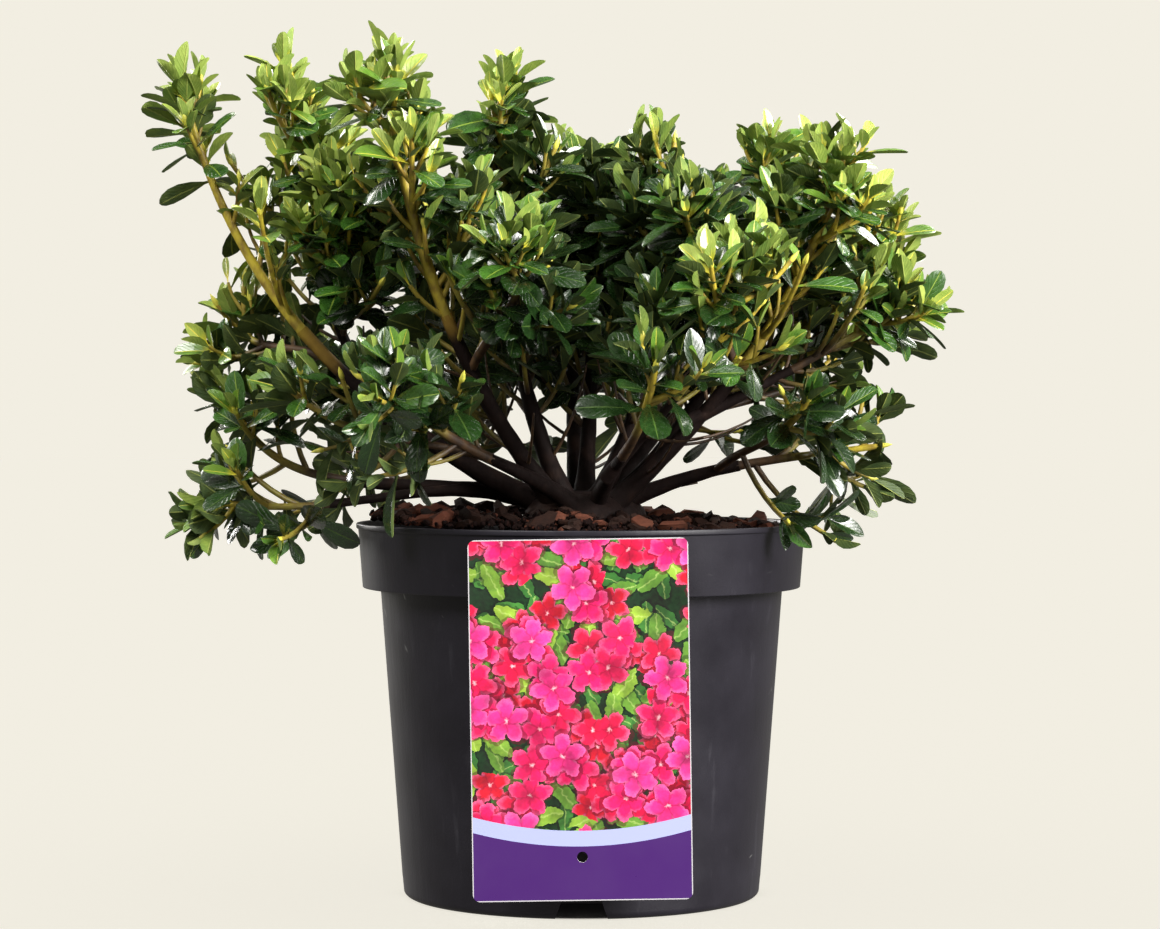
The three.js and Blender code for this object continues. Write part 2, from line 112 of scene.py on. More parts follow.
# How ragged their outline is, how much their width and thickness vary, how wavy they lie, and the level and
# width of each ring of points
CHIP_SHAPE = Sizes(ragged=(0.6, 1.15), wide=(0.6, 1.2), thick=(0.6, 1.3), wave=0.12,
                   rings=((-0.5, 0.62), (0.0, 1.0), (0.5, 0.7)))
# The tints of bark, dark and pale, and the share of the chips up to each
CHIP_TINTS = {
    "red": Sizes(tones=((48, 25, 18), (98, 57, 43)), up_to=0.32),
    "brown": Sizes(tones=((16, 9, 7), (40, 23, 17)), up_to=0.9),
    "grey": Sizes(tones=((24, 16, 14), (54, 39, 33)), up_to=1.0),
}

# Root crown that the stems rise from, and the two rings of places where they do, the outer one from its first
# place, in degrees from +X
CROWN = Sizes(radius=0.026, height=0.012, lobes=5, lobed=0.09, around=96, rings=26, drawn_in=0.94, swell=0.8,
              rough=0.07, rough_size=0.006, sunk=0.002)
RING = Sizes(radius=0.015, up=0.006, first=163)
CENTRE = Sizes(radius=0.007, up=0.008)
# How much further limbs and their twigs reach than in the solids
REACH_ON = 0.004
# A mass's stem begins a little way down its bough, and its last point is thinner than the limb's tip
STEM = Sizes(overlap=0.01, tip=0.7)


def limb_plan(origin, way, out, up, slopes, bare, at=None, full=1.0, further=REACH_ON, shown=None):
    """Where a limb springs from and how far along that; the way its tip lies, in degrees from +X, how far out
    from the pot's axis and how far up from the soil; the slopes at which it leaves and arrives, in degrees;
    the share of it that is bare bough. Then what the solids don't have: how full of fine shoots its mass is,
    how much further its tip reaches, and the stretch of its stem that no leaf hides from the front."""
    return Sizes(origin=origin, way=way, out=out, up=up, slopes=slopes, bare=bare, at=at, full=full,
                 further=further, shown=shown)


# Those that spring from the crown's ring stand in their order round it.
LIMBS = {
    "left_mid": limb_plan("ring", 179, 0.147, 0.048, (20, 66), 0.55, full=0.7, further=0.008),
    "left_tall": limb_plan("ring", 187, 0.166, 0.176, (25, 76), 0.54, full=0.6, further=0.008,
                           shown=(0.42, 0.78)),
    "front_left_tall": limb_plan("ring", 221, 0.104, 0.180, (46, 80), 0.5, further=0.007, shown=(0.4, 0.84)),
    "front_left_low": limb_plan("ring", 230, 0.118, 0.060, (30, 48), 0.45, full=1.4),
    "front_low": limb_plan("ring", 284, 0.116, 0.060, (34, 50), 0.45),
    "front_right_tall": limb_plan("ring", 340, 0.114, 0.149, (42, 74), 0.48, shown=(0.48, 0.82)),
    "right_low": limb_plan("ring", 351, 0.122, 0.031, (26, 8), 0.5),
    "right_back_tall": limb_plan("ring", 14, 0.088, 0.150, (44, 80), 0.45, full=1.2, further=-0.006),
    "back_right": limb_plan("ring", 52, 0.120, 0.116, (36, 66), 0.45, full=1.4),
    "back_tall": limb_plan("ring", 94, 0.074, 0.158, (48, 80), 0.45, full=1.4),
    "back_left": limb_plan("ring", 130, 0.116, 0.132, (38, 70), 0.45, full=1.4),
    "middle_left": limb_plan("centre", 184, 0.034, 0.180, (66, 88), 0.42, full=1.3),
    "middle_back": limb_plan("centre", 80, 0.030, 0.162, (66, 88), 0.42, full=1.4, further=-0.016),
    "middle_right": limb_plan("centre", 336, 0.042, 0.154, (60, 84), 0.42, full=1.4),
    "left_second": limb_plan("left_tall", 175, 0.124, 0.188, (52, 80), 0.45, 0.34, full=1.05),
    "left_bottom": limb_plan("left_mid", 192, 0.150, 0.008, (0, 8), 0.6, 0.2, full=0.7),
    "right_mid": limb_plan("front_right_tall", 349, 0.134, 0.088, (26, 30), 0.45, 0.3, full=0.9,
                           further=0.012, shown=(0.36, 0.8)),
    "right_tall": limb_plan("right_back_tall", 1, 0.136, 0.126, (34, 64), 0.4, 0.38, full=0.8,
                            further=-0.006),
    "front_right": limb_plan("front_low", 303, 0.120, 0.100, (40, 62), 0.4, 0.34),
    "back_mid": limb_plan("back_tall", 90, 0.128, 0.092, (26, 56), 0.45, 0.34, full=1.3),
    "left_side": limb_plan("left_tall", 175, 0.148, 0.084, (30, 56), 0, 0.46, full=0.9),
    "left_inner": limb_plan("left_second", 199, 0.102, 0.134, (44, 76), 0, 0.22, full=1.8),
    "left_front": limb_plan("front_left_low", 206, 0.130, 0.054, (24, 44), 0, 0.36, full=0.8),
    "front_middle": limb_plan("front_left_tall", 258, 0.098, 0.110, (40, 64), 0, 0.36),
    "front_inner": limb_plan("front_right_tall", 306, 0.078, 0.128, (46, 74), 0, 0.44, full=1.2),
    "right_front": limb_plan("right_low", 320, 0.116, 0.048, (24, 36), 0, 0.4, full=0.8),
    "back_left_mid": limb_plan("left_mid", 148, 0.132, 0.066, (24, 50), 0, 0.4, full=1.1),
    "back_right_low": limb_plan("back_right", 30, 0.132, 0.072, (24, 46), 0, 0.34, full=0.8),
    "back_left_low": limb_plan("back_left", 114, 0.126, 0.042, (10, 34), 0, 0.32, full=0.9),
    "back_low": limb_plan("back_mid", 70, 0.126, 0.040, (8, 32), 0, 0.28, full=0.8),
}
# How far a limb keeps the way that it leaves or arrives in, and how thick it is, from its root to its tip
PULL = 0.38
GIRTH = Sizes(least=0.0024, per_length=0.0085, fork=0.74, tip=0.0015, fall=0.8)
LENGTH_STEPS = 200
LINE_STEPS = 8
BOUGH = Sizes(sides=16, step=0.0016, flare=0.5, flare_length=0.011, sunk=0.007)
BARK_RELIEF = Sizes(ridge=0.07, ridges=1.7, along=0.013, knob=0.09, knob_size=0.009)

# Where the sky shows between the limbs from the front: the middle of each opening, across and up, its reach
# across and up, and how far back it counts
SKY = {
    "before_the_stems": ((-0.012, 0.182), (0.034, 0.026), 0),
    "before_the_soil": ((0.040, 0.168), (0.024, 0.014), 0),
    "left_of_stems": ((-0.050, 0.175), (0.014, 0.007)),
    "stems_left": ((-0.027, 0.193), (0.005, 0.012)),
    "stems_middle": ((-0.003, 0.198), (0.009, 0.009)),
    "stems_right": ((0.031, 0.182), (0.010, 0.014)),
    "right_of_stems": ((0.056, 0.206), (0.014, 0.007)),
    "inside_left_tall": ((-0.141, 0.325), (0.005, 0.018)),
    "under_left_tall": ((-0.169, 0.282), (0.010, 0.012)),
    "between_left_peaks": ((-0.110, 0.360), (0.006, 0.015)),
    "outside_left_tall": ((-0.190, 0.298), (0.010, 0.016)),
    "above_left_side": ((-0.160, 0.262), (0.008, 0.008)),
    "between_the_peaks": ((-0.052, 0.347), (0.009, 0.016)),
    "top_middle": ((0.008, 0.332), (0.017, 0.012)),
    "top_right": ((0.054, 0.316), (0.011, 0.008)),
    "above_right_tall": ((0.100, 0.346), (0.036, 0.010)),
    "outside_right_tall": ((0.161, 0.298), (0.014, 0.018)),
    "low_left": ((-0.127, 0.180), (0.012, 0.009)),
    "low_right": ((0.070, 0.176), (0.032, 0.007)),
    "below_right": ((0.148, 0.190), (0.016, 0.011)),
}
# How near a leaf may come to a stem that shows, seen from the front
SHOWN_REACH = 0.0045
# How far round an opening a tuft may not stand, against the opening's own reach
OFF_SKY = 1.4
# The crown's lit shell, whose light is not the lamps' but paints shade into the leaves: it gives leaves
# inside the crown darker colours, and sets their size. Its reach across and upwards from its middle, where
# its light begins and is full, and the heights between which the light grows from its low share to all of it
SHELL = Sizes(across=0.165, up=0.2, middle=0.155, dark=0.52, full=0.98, low=0.165, high=0.26, shade_low=0.72)
# Shoots of one mass: the leader is its stem, twigs are those of the solids, side shoots are finer ones on the
# stem, and fine ones spring from the twigs. Inner ones stand in the shade on the bare bough, as dead ones do.
# How many spring, and the first and last place on their parent; how long they are, and how much less at its
# tip; how far they spread, in degrees, and lift; their radius at both ends; how many leaves their tuft has,
# and how deep it is
TURN = 137.5
SHOOT_SIZE = (0.85, 1.15)
SHOOTS = {
    "leader": Sizes(tuft=(14, 0.026)),
    "twig": Sizes(count=5, first=0.12, last=0.8, length=0.04, shorten=0.4, spread=56, lift=0.35,
                  girth=(0.00135, 0.001), tuft=(10, 0.02)),
    "side": Sizes(count=12, first=0.06, last=0.93, length=0.026, shorten=0.35, spread=50, lift=0.5,
                  girth=(0.0011, 0.0008), tuft=(8, 0.016)),
    "inner": Sizes(count=10, first=0.42, last=0.98, length=0.03, shorten=0.2, spread=58, lift=0.5,
                   girth=(0.0012, 0.0009), tuft=(7, 0.016)),
    "dead": Sizes(count=4, first=0.22, last=0.9, length=0.042, shorten=0.3, spread=48, lift=0.25,
                  girth=(0.0009, 0.0004)),
    "fine": Sizes(count=5, first=0.15, last=0.75, length=0.018, shorten=0.3, spread=46, lift=0.5,
                  girth=(0.0009, 0.0007), tuft=(6, 0.013)),
}
# Low masses have fewer shoots, and the lowest have no dead twigs
LOW_MASS = Sizes(height=0.205, top=0.305, fewest=0.4, no_dead=0.3)
ROD = Sizes(sides=6, steps=5, bend=0.26, lowest=0.6)
# Shoots and leaves lift towards the light from the high one of two heights on, and hang below the low one
LIFTED = Sizes(low=0.165, high=0.235, hang=-0.6)
# Where along a limb its wood turns from old to young, sooner on the tall ones that lean out, and how young a
# twig's tip is at least
YOUNG_WOOD = Sizes(out=0.1, height=0.255, leaning=(0.3, 0.62), others=(0.62, 1.0), twig=0.64)

# Leaves: their size and how it varies, how far apart they are along a shoot and how crowded in its tuft, how
# they lift, and how much of its size a young one has
LEAF = Sizes(length=0.0285, vary=0.5, width=0.49, vary_width=0.15, spacing=0.0072, lift=0.3, leader=1.14,
             crowded=1.3, youngest=0.62, grown=1.6)
# Their size in the shade and in the light, and the share of a shoot below them that is bare
LEAF_AT = Sizes(low=1.08, high=0.86)
BARE_FOOT = Sizes(leader=0.4, others=0.12)
# A shoot with fewer leaves in its tuft is left out
TUFT_LEAST = 3
# How far a leaf bends back, folds up along its midrib and rolls down at its edges, young and old
LEAF_FORM = Sizes(bend=(0.08, 0.75), fold=(0.8, 0.2), roll=(0.2, 0.46), formed=1.4)
# Places on a leaf that have to keep to its space: shares of its length, and of its width off the midrib
SAMPLES = np.array([[0.55, 0.0], [0.6, 0.45], [0.6, -0.45], [1.0, 0.0]])
# How far light, place on the shoot and luck set a leaf's score, and the least score of each age of leaf. The
# light's share of it is painted shade: leaves in the crown's shade score low and take the darker colours
LIT_AND_FRESH = Sizes(place=0.75, middle=0.9, last=1.4, luck=0.35, new=1.36, young=1.12, full=0.74)
# How far leaves stand off their shoot, in degrees: at its tip, below its tuft and at its foot
OPEN = Sizes(tip=8, tuft=80, foot=100, jitter=13, soon=0.75)
# Rows of points along a leaf and columns across it, and the width at each row of two shapes of leaf
LEAF_ROWS = np.array([0, 0.13, 0.34, 0.56, 0.76, 0.9, 0.97])
LEAF_COLUMNS = np.array([-1, -0.52, -0.05, 0.05, 0.52, 1])
OBOVATE = np.array([0.12, 0.16, 0.56, 0.89, 1.0, 0.82, 0.46])
ELLIPTIC = np.array([0.12, 0.22, 0.76, 1.0, 0.84, 0.5, 0.22])
# How far the rib is pressed in above and stands out below, against the half width, and how thick a leaf is
# there, against its length
RIB_GROOVE = 0.035
RIB_DEPTH = 0.06
LEAF_THICK = 0.022
# The colours of each age of leaf, which paint shade as well as age: leaves in the crown's shade take the
# darker ones. Dark and pale on top, its foot and how far that reaches, its rib, and which underside it has
LEAF_AGES = {
    "old": Sizes(
        top=((16, 35, 12), (31, 56, 20), (39, 58, 23), 0.12), rough=0.24,
        rib=((47, 71, 26), (64, 87, 32)), under="old",
    ),
    "full": Sizes(
        top=((27, 56, 17), (54, 91, 28), (156, 145, 39), 0.24), rough=0.26,
        rib=((98, 122, 39), (120, 139, 48)), under="old",
    ),
    "young": Sizes(
        top=((60, 98, 30), (104, 136, 44), (222, 202, 46), 0.38), rough=0.3,
        rib=((184, 183, 65), (203, 193, 74)), under="young",
    ),
    "new": Sizes(
        top=((122, 149, 58), (166, 178, 86), (234, 216, 54), 0.5), rough=0.34,
        rib=((222, 206, 74), (234, 214, 84)), under="new",
    ),
}
LEAF_UNDERS = {
    "old": ((50, 70, 30), (78, 94, 40)),
    "young": ((84, 110, 40), (120, 140, 54)),
    "new": ((110, 134, 52), (144, 162, 72)),
}
# How far leaves may reach into the next mass, how far they keep off boughs, and where the pot and its lip are
SPACE = Sizes(mingle=0.007, limb=0.0004, pot_radius=0.097, pot_top=0.161, lowest=0.142)
BUD = Sizes(length=0.0062, width=0.0026, sides=6, sunk=0.15)
BUD_SHARES = np.array([0, 0.3, 0.65, 1])
BUD_GIRTHS = np.array([0.55, 1, 0.72, 0.06])
# The most that one piece of leaves has
MOST_TRIANGLES = 190000

# The growth rule's random numbers
WORD = 2**32
SEED_STEP = 7919 * 31
SEEDS = Sizes(chips=11, crumbs=12, finer_shoots=100, leaves=991)
MULTIPLIER = 1664525
INCREMENT = 1013904223

UP = np.array([0.0, 0.0, 1.0])
TINY = 1e-9


def lerp(a, b, share):
    return a + (b - a) * share


def polar(r, way, z):
    return np.array([r * cos(radians(way)), r * sin(radians(way)), z])


def unit(v):
    return v / np.linalg.norm(v, axis=-1, keepdims=True)


def light_at(points):
    """How much light reaches a place in the crown, none deep inside and all in its outer shell: it paints
    shade into the leaves' colours and sets their size.
    """
    points = np.asarray(points)
    out = np.hypot(points[..., 0], points[..., 1]) / SHELL.across
    up = np.maximum(0, points[..., 2] - SHELL.middle) / SHELL.up
    shell = np.clip((np.hypot(out, up) - SHELL.dark) / (SHELL.full - SHELL.dark), 0, 1)
    share_up = np.clip((points[..., 2] - SHELL.low) / (SHELL.high - SHELL.low), 0, 1)
    return shell * lerp(SHELL.shade_low, 1, share_up)


def lift_at(height):
    """How far towards the light things turn at a height: 1 high up, and below 0 where they hang."""
    share = (height - LIFTED.low) / (LIFTED.high - LIFTED.low)
    return np.clip(lerp(LIFTED.hang, 1, share), LIFTED.hang, 1)


def random_from(seed):
    """Numbers from 0 to 1, the same ones for the same seed, by the usual congruential rule."""
    state = seed * SEED_STEP
    while True:
        state = (state * MULTIPLIER + INCREMENT) % WORD
        yield state / WORD


def paint(red, green, blue):
    """A colour as it looks on a screen, from 0 to 255, in the linear values that shaders take."""
    levels = [c / 255 for c in (red, green, blue)]
    return tuple(c / 12.92 if c <= 0.04045 else ((c + 0.055) / 1.055) ** 2.4 for c in levels) + (1.0,)


# Materials

def math_operator(operation):
    return lambda value, other: value.maths(operation, value, other)


class Value:
    """A node's output that Python expressions can use: each operator adds a Math node."""

    def __init__(self, finish, socket):
        self.finish = finish
        self.socket = socket

    def maths(self, operation, *values):
        return self.finish.node("ShaderNodeMath", {"operation": operation}, dict(enumerate(values)))

    def own(self, operation):
        """What an operation with one number makes of it, such as its sine."""
        return self.maths(operation, self)

    def __abs__(self):
        return self.own("ABSOLUTE")

    __add__ = math_operator("ADD")
    __sub__ = math_operator("SUBTRACT")
    __mul__ = math_operator("MULTIPLY")
    __truediv__ = math_operator("DIVIDE")
    __pow__ = math_operator("POWER")
    __lt__ = math_operator("LESS_THAN")
    __gt__ = math_operator("GREATER_THAN")


class Finish:
    """A material in the making."""

    def __init__(self, name):
        self.material = bpy.data.materials.new(name)
        self.material.use_nodes = True
        self.tree = self.material.node_tree
        self.tree.nodes.clear()
        self.place = self.node("ShaderNodeTexCoord", output="Object")

    def node(self, kind, settings=None, sockets=None, output=0):
        """One node of any kind: its settings first, then the values or links of its sockets."""
        made = self.tree.nodes.new(kind)
        for name, value in (settings or {}).items():
            setattr(made, name, value)
        for name, value in (sockets or {}).items():
            if isinstance(value, Value):
                self.tree.links.new(value.socket, made.inputs[name])
            else:
                made.inputs[name].default_value = value
        return Value(self, made.outputs[output])

    def noise(self, size, detail=3, rough=0.55, stretch=(1, 1, 1), place=None):
        """Noise whose lumps are about so many metres across, from 0 to 1."""
        there = place or self.place
        if stretch != (1, 1, 1):
            there = self.node("ShaderNodeMapping", None, {"Vector": there, "Scale": stretch})
        sockets = {"Vector": there, "Scale": 1 / size, "Detail": detail, "Roughness": rough}
        return self.node("ShaderNodeTexNoise", None, sockets, "Fac")

    def between(self, value, low, high, to_low=0.0, to_high=1.0):
        """A value spread from one range to another, held inside it."""
        sockets = {"Value": value, "From Min": low, "From Max": high, "To Min": to_low, "To Max": to_high}
        return self.node("ShaderNodeMapRange", None, sockets)

    def mix(self, share, a, b):
        """From one colour to another, each a link or as paint() takes it."""
        a, b = (paint(*colour) if isinstance(colour, tuple) else colour for colour in (a, b))
        return self.node("ShaderNodeMix", {"data_type": "RGBA"}, {0: share, 6: a, 7: b}, 2)

    def vector(self, operation, *values, output=0):
        return self.node("ShaderNodeVectorMath", {"operation": operation}, dict(enumerate(values)), output)

    def parts(self, value):
        """The three numbers of a vector."""
        made = self.node("ShaderNodeSeparateXYZ", None, {0: value})
        return [Value(self, socket) for socket in made.socket.node.outputs]

    def bump(self, height, depth, under=None):
        sockets = {"Height": height, "Strength": 1.0, "Distance": depth}
        if under:
            sockets["Normal"] = under
        return self.node("ShaderNodeBump", None, sockets)

    def done(self, colour, rough, normal=None, **others):
        """The surface's shader. Its other sockets are named with _ for each space."""
        sockets = {"Base Color": colour, "Roughness": rough}
        if normal:
            sockets["Normal"] = normal
        sockets.update({name.replace("_", " "): value for name, value in others.items()})
        shader = self.node("ShaderNodeBsdfPrincipled", None, sockets)
        output = self.tree.nodes.new("ShaderNodeOutputMaterial")
        self.tree.links.new(shader.socket, output.inputs["Surface"])
        return self.material


def pot_plastic():
    """Black moulded plastic, scuffed and a little dusty, with fine pale scratches."""
    f = Finish("black_pot_plastic")
    cloud = f.noise(0.03, 5)
    grain = f.noise(0.0012, 2)
    drag = f.noise(0.006, 4, stretch=(1, 1, 0.16))
    slant = f.node("ShaderNodeMapping", None, {"Vector": f.place, "Rotation": (0.5, 0.4, 0.9)})
    hair = f.noise(0.004, 2, stretch=(1, 0.02, 0.3), place=slant)
    patch = f.between(f.noise(0.045, 2), 0.52, 0.68)
    scratch = f.between(hair, 0.71, 0.76) * patch
    scuff = f.between(drag, 0.6, 0.82) * f.between(cloud, 0.45, 0.7)
    base = f.mix(f.between(cloud, 0.3, 0.75), (21, 19, 26), (31, 29, 37))
    base = f.mix(scuff * 0.5, base, (76, 75, 82))
    base = f.mix(scratch * 0.6, base, (150, 150, 150))
    rough = f.between(cloud, 0.3, 0.7, 0.36, 0.5) + scuff * 0.15
    normal = f.bump(grain, 0.00004, f.bump(drag, 0.00012))
    return f.done(base, rough, normal, Specular_IOR_Level=0.3)


def card_print(centre):
    """A printed sheet: plain five-petalled blossoms over leaves, above a purple foot with a pale border."""
    f = Finish("card_print")
    turned = (0, radians(CARD.turn), 0)
    moved = f.vector("SUBTRACT", f.place, centre)
    flat = f.node("ShaderNodeMapping", None, {"Vector": moved, "Rotation": turned})
    across, _, up = f.parts(flat)
    sheet = f.node("ShaderNodeCombineXYZ", None, {0: across, 1: up, 2: 0.0})

    wave = f.node("ShaderNodeTexNoise", None, {"Vector": sheet, "Scale": 420.0, "Detail": 2.0}, "Color")
    wave = f.vector("SUBTRACT", wave, (0.5, 0.5, 0.5))
    ruffled = f.vector("ADD", sheet, f.vector("MULTIPLY", wave, (0.0028, 0.0028, 0.0028)))

    def scattered(cell, offset):
        """The nearest of many scattered middles: the way from it, its own random number and its own noise."""
        shift = (offset, 0.7 * offset, 0)
        shifted = f.vector("ADD", ruffled, shift)
        sockets = {"Vector": shifted, "Scale": 1 / cell, "Randomness": 0.8}
        spot = f.node("ShaderNodeTexVoronoi", {"voronoi_dimensions": "2D"}, sockets, "Position")
        own = f.node("ShaderNodeSeparateColor", None, {0: Value(f, spot.socket.node.outputs["Color"])})
        x, y, _ = f.parts(f.vector("SUBTRACT", shifted, spot))
        return x, y, own, f.noise(0.03, 1, place=f.vector("SUBTRACT", spot, shift))

    def leaf(cell, length, offset):
        """Leaves at any angle: whether a place is on one or in its shadow, its shade, and its middle line."""
        x, y, own, _ = scattered(cell, offset)
        angle = own * (2 * pi)
        cosine, sine = angle.own("COSINE"), angle.own("SINE")
        along = (x * cosine + y * sine) / length
        side = (y * cosine - x * sine) / (0.42 * length)
        inside = along * along + side * side
        shown = own > 0.2
        return (inside < 1.0) * shown, (inside < 1.5) * shown, own, abs(side)

    def blossom(cell, size, offset):
        """Blossoms of five petals: whether a place is on one or in its shadow, its shade, how far out it is
        and how near the middle of a petal."""
        x, y, own, crowd = scattered(cell, offset)
        turn = x.maths("ARCTAN2", y, x) * 2.5 + own * 6.0
        petal = abs(turn.own("COSINE"))
        edge = petal * 0.46 + 0.55
        reach = (x * x + y * y) ** 0.5 / size
        shown = crowd > 0.46
        return (reach < edge) * shown, (reach < edge * 1.2) * shown, own, reach / edge, petal

    speckle = f.noise(0.0016, 4, place=sheet)
    streak = f.noise(0.0008, 3, place=ruffled)
    ground = f.mix(speckle, (5, 16, 10), (26, 60, 30))
    for cell, length, offset, low, high in (
        (0.011, 0.0066, 0.31, (18, 60, 30), (66, 124, 50)),
        (0.013, 0.0078, 0.77, (28, 84, 36), (106, 150, 52)),
        (0.016, 0.0080, 1.27, (52, 114, 42), (150, 180, 60)),
    ):
        on, shaded, own, side = leaf(cell, length, offset)
        ground = f.mix(shaded * 0.5, ground, (4, 12, 8))
        shade = f.mix(own * 0.6 + speckle * 0.5, low, high)
        shade = f.mix(f.between(side, 0.0, 0.14, 0.4, 0.0), shade, (200, 220, 130))
        ground = f.mix(on, ground, shade)
    for cell, size, offset, low, high in (
        (0.014, 0.0080, 0.13, (146, 8, 34), (204, 24, 44)),
        (0.015, 0.0084, 0.53, (184, 10, 62), (222, 26, 66)),
        (0.017, 0.0090, 0.91, (204, 18, 48), (228, 30, 110)),
        (0.022, 0.0092, 1.73, (212, 22, 96), (232, 62, 148)),
    ):
        on, shaded, own, out, petal = blossom(cell, size, offset)
        ground = f.mix(shaded * 0.55, ground, (74, 4, 26))
        shade = f.mix(own * 0.5 + streak * 0.6, low, high)
        shade = f.mix(f.between(petal, 0.0, 0.5, 0.65, 0.0), shade, (128, 4, 40))
        shade = f.mix(f.between(out, 0.7, 1.0, 0.0, 0.5) * streak, shade, (255, 150, 206))
        shade = f.mix(f.between(out, 0.05, 0.5, 0.6, 0.0), shade, (132, 6, 44))
        shade = f.mix(f.between(out, 0.0, 0.14, 0.9, 0.0), shade, (250, 190, 200))
        ground = f.mix(on, ground, shade)
    dapple = f.between(f.noise(0.013, 4, place=sheet), 0.36, 0.6, 0.55, 0.0)
    ground = f.mix(dapple, ground, (22, 8, 16))
    half, tall = CARD.width / 2, CARD.height / 2
    foot = across * across * 3.2 - (tall - 0.0215)
    ground = f.mix(up < foot + 0.0062, ground, (148, 154, 194))
    ground = f.mix(up < foot, ground, (58, 24, 90))
    edge = across.maths("MAXIMUM", abs(across) - half, abs(up) - tall)
    ground = f.mix(edge > -0.0004, ground, (172, 170, 174))
    wear = f.noise(0.02, 4)
    return f.done(ground, f.between(wear, 0.3, 0.7, 0.26, 0.42))


def card_back():
    f = Finish("card_back")
    fibre = f.noise(0.003, 4)
    base = f.mix(fibre, (214, 212, 208), (232, 230, 226))
    return f.done(base, 0.5, f.bump(fibre, 0.00003))


def peat():
    """Dark moist peat with fibres and a few brown scraps."""
    f = Finish("peat")
    clod = f.noise(0.006, 6, 0.65)
    fibre = f.noise(0.0014, 4, stretch=(1, 0.3, 1))
    base = f.mix(clod, (7, 4, 4), (25, 14, 12))
    base = f.mix(f.between(fibre, 0.58, 0.75), base, (62, 32, 22))
    return f.done(base, 0.92, f.bump(clod * 0.7 + fibre * 0.3, 0.0009), Specular_IOR_Level=0.06)


def chip_bark(name, deep, pale):
    """Shredded bark, streaked along its grain."""
    f = Finish("bark_chip_" + name)
    streak = f.noise(0.002, 5, 0.6, stretch=(0.35, 1, 2))
    blot = f.noise(0.009, 3)
    base = f.mix(streak, deep, pale)
    base = f.mix(f.between(blot, 0.5, 0.72, 0.0, 0.6), base, (44, 26, 18))
    return f.done(base, 0.82, f.bump(streak, 0.0004), Specular_IOR_Level=0.1)


def stem_bark():
    """Old bark, dark and flaking low down, then smooth and golden where the year's wood begins."""
    f = Finish("stem_bark")
    age = f.node("ShaderNodeAttribute", {"attribute_name": "youth"}, None, "Fac")
    flake = f.noise(0.0035, 6, 0.65, stretch=(1, 1, 0.35))
    patch = f.noise(0.012, 3)
    old = f.mix(flake, (11, 6, 6), (31, 19, 16))
    old = f.mix(f.between(patch, 0.55, 0.72, 0.0, 0.5), old, (52, 36, 29))
    middle = f.mix(flake, (104, 82, 36), (148, 118, 50))
    young = f.mix(flake, (124, 106, 36), (182, 162, 54))
    shown = age + (patch - 0.5) * 0.3
    base = f.mix(f.between(shown, 0.4, 0.62), old, middle)
    base = f.mix(f.between(shown, 0.66, 0.94), base, young)
    normal = f.bump(flake, 0.0005)
    return f.done(base, f.between(flake, 0.3, 0.7, 0.85, 0.6), normal, Specular_IOR_Level=0.14)


def shoot_skin():
    """Twigs: brown where they are woody, olive further on, golden where they are young and lit."""
    f = Finish("shoot_skin")
    age = f.node("ShaderNodeAttribute", {"attribute_name": "youth"}, None, "Fac")
    mottle = f.noise(0.004, 3, stretch=(1, 1, 0.5))
    streak = f.between(mottle, 0.38, 0.62)
    woody = f.mix(streak, (54, 40, 30), (84, 62, 40))
    olive = f.mix(streak, (120, 102, 40), (140, 132, 52))
    golden = f.mix(streak, (178, 160, 48), (126, 104, 38))
    base = f.mix(f.between(age, 0.1, 0.4), woody, olive)
    base = f.mix(f.between(age, 0.5, 0.8), base, golden)
    return f.done(base, 0.5, f.bump(mottle, 0.0002))


def bud_skin():
    f = Finish("bud_skin")
    mottle = f.noise(0.002, 3)
    base = f.mix(f.between(mottle, 0.4, 0.66), (206, 196, 76), (170, 172, 70))
    return f.done(base, 0.45, f.bump(mottle, 0.0001))


def leaf_map(f):
    """Where a place is on its leaf: its share of the length, and how far off the midrib."""
    along, across, _ = f.parts(f.node("ShaderNodeTexCoord", output="UV"))
    return along, abs(across - 0.5)


def vein_wave(along, from_rib):
    """A wave that peaks on the side veins, which slant towards the tip."""
    return ((along * 15.0 - from_rib * 11.0) * 3.0).own("SINE")


def leaf_top(name, deep, pale, foot, foot_reach, rough):
    """The upper side of a leaf: waxy, with its side veins pressed in, yellower at its foot, and paler towards
    its margins, a painted sheen.
    """
    f = Finish("leaf_top_" + name)
    mottle = f.noise(0.012, 3)
    fine = f.noise(0.0022, 3)
    along, from_rib = leaf_map(f)
    veins = f.between(vein_wave(along, from_rib), 0.55, 1.0)
    base = f.mix(f.between(mottle * 0.7 + fine * 0.3, 0.34, 0.66), deep, pale)
    # Paler towards the margins: a painted sheen on the rolled edges
    base = f.mix(f.between(from_rib, 0.38, 0.5, 0.0, 0.45), base, pale)
    base = f.mix(f.between(along + (mottle - 0.5) * 0.2, 0.04, foot_reach, 1.0, 0.0), base, foot)
    height = fine * 0.5 - veins * 0.6
    roughness = f.between(fine, 0.3, 0.7, rough - 0.05, rough + 0.09)
    shine = {"Coat_Weight": 0.38, "Coat_Roughness": 0.12, "Specular_IOR_Level": 0.5}
    return f.done(base, roughness, f.bump(height, 0.00022), **shine)


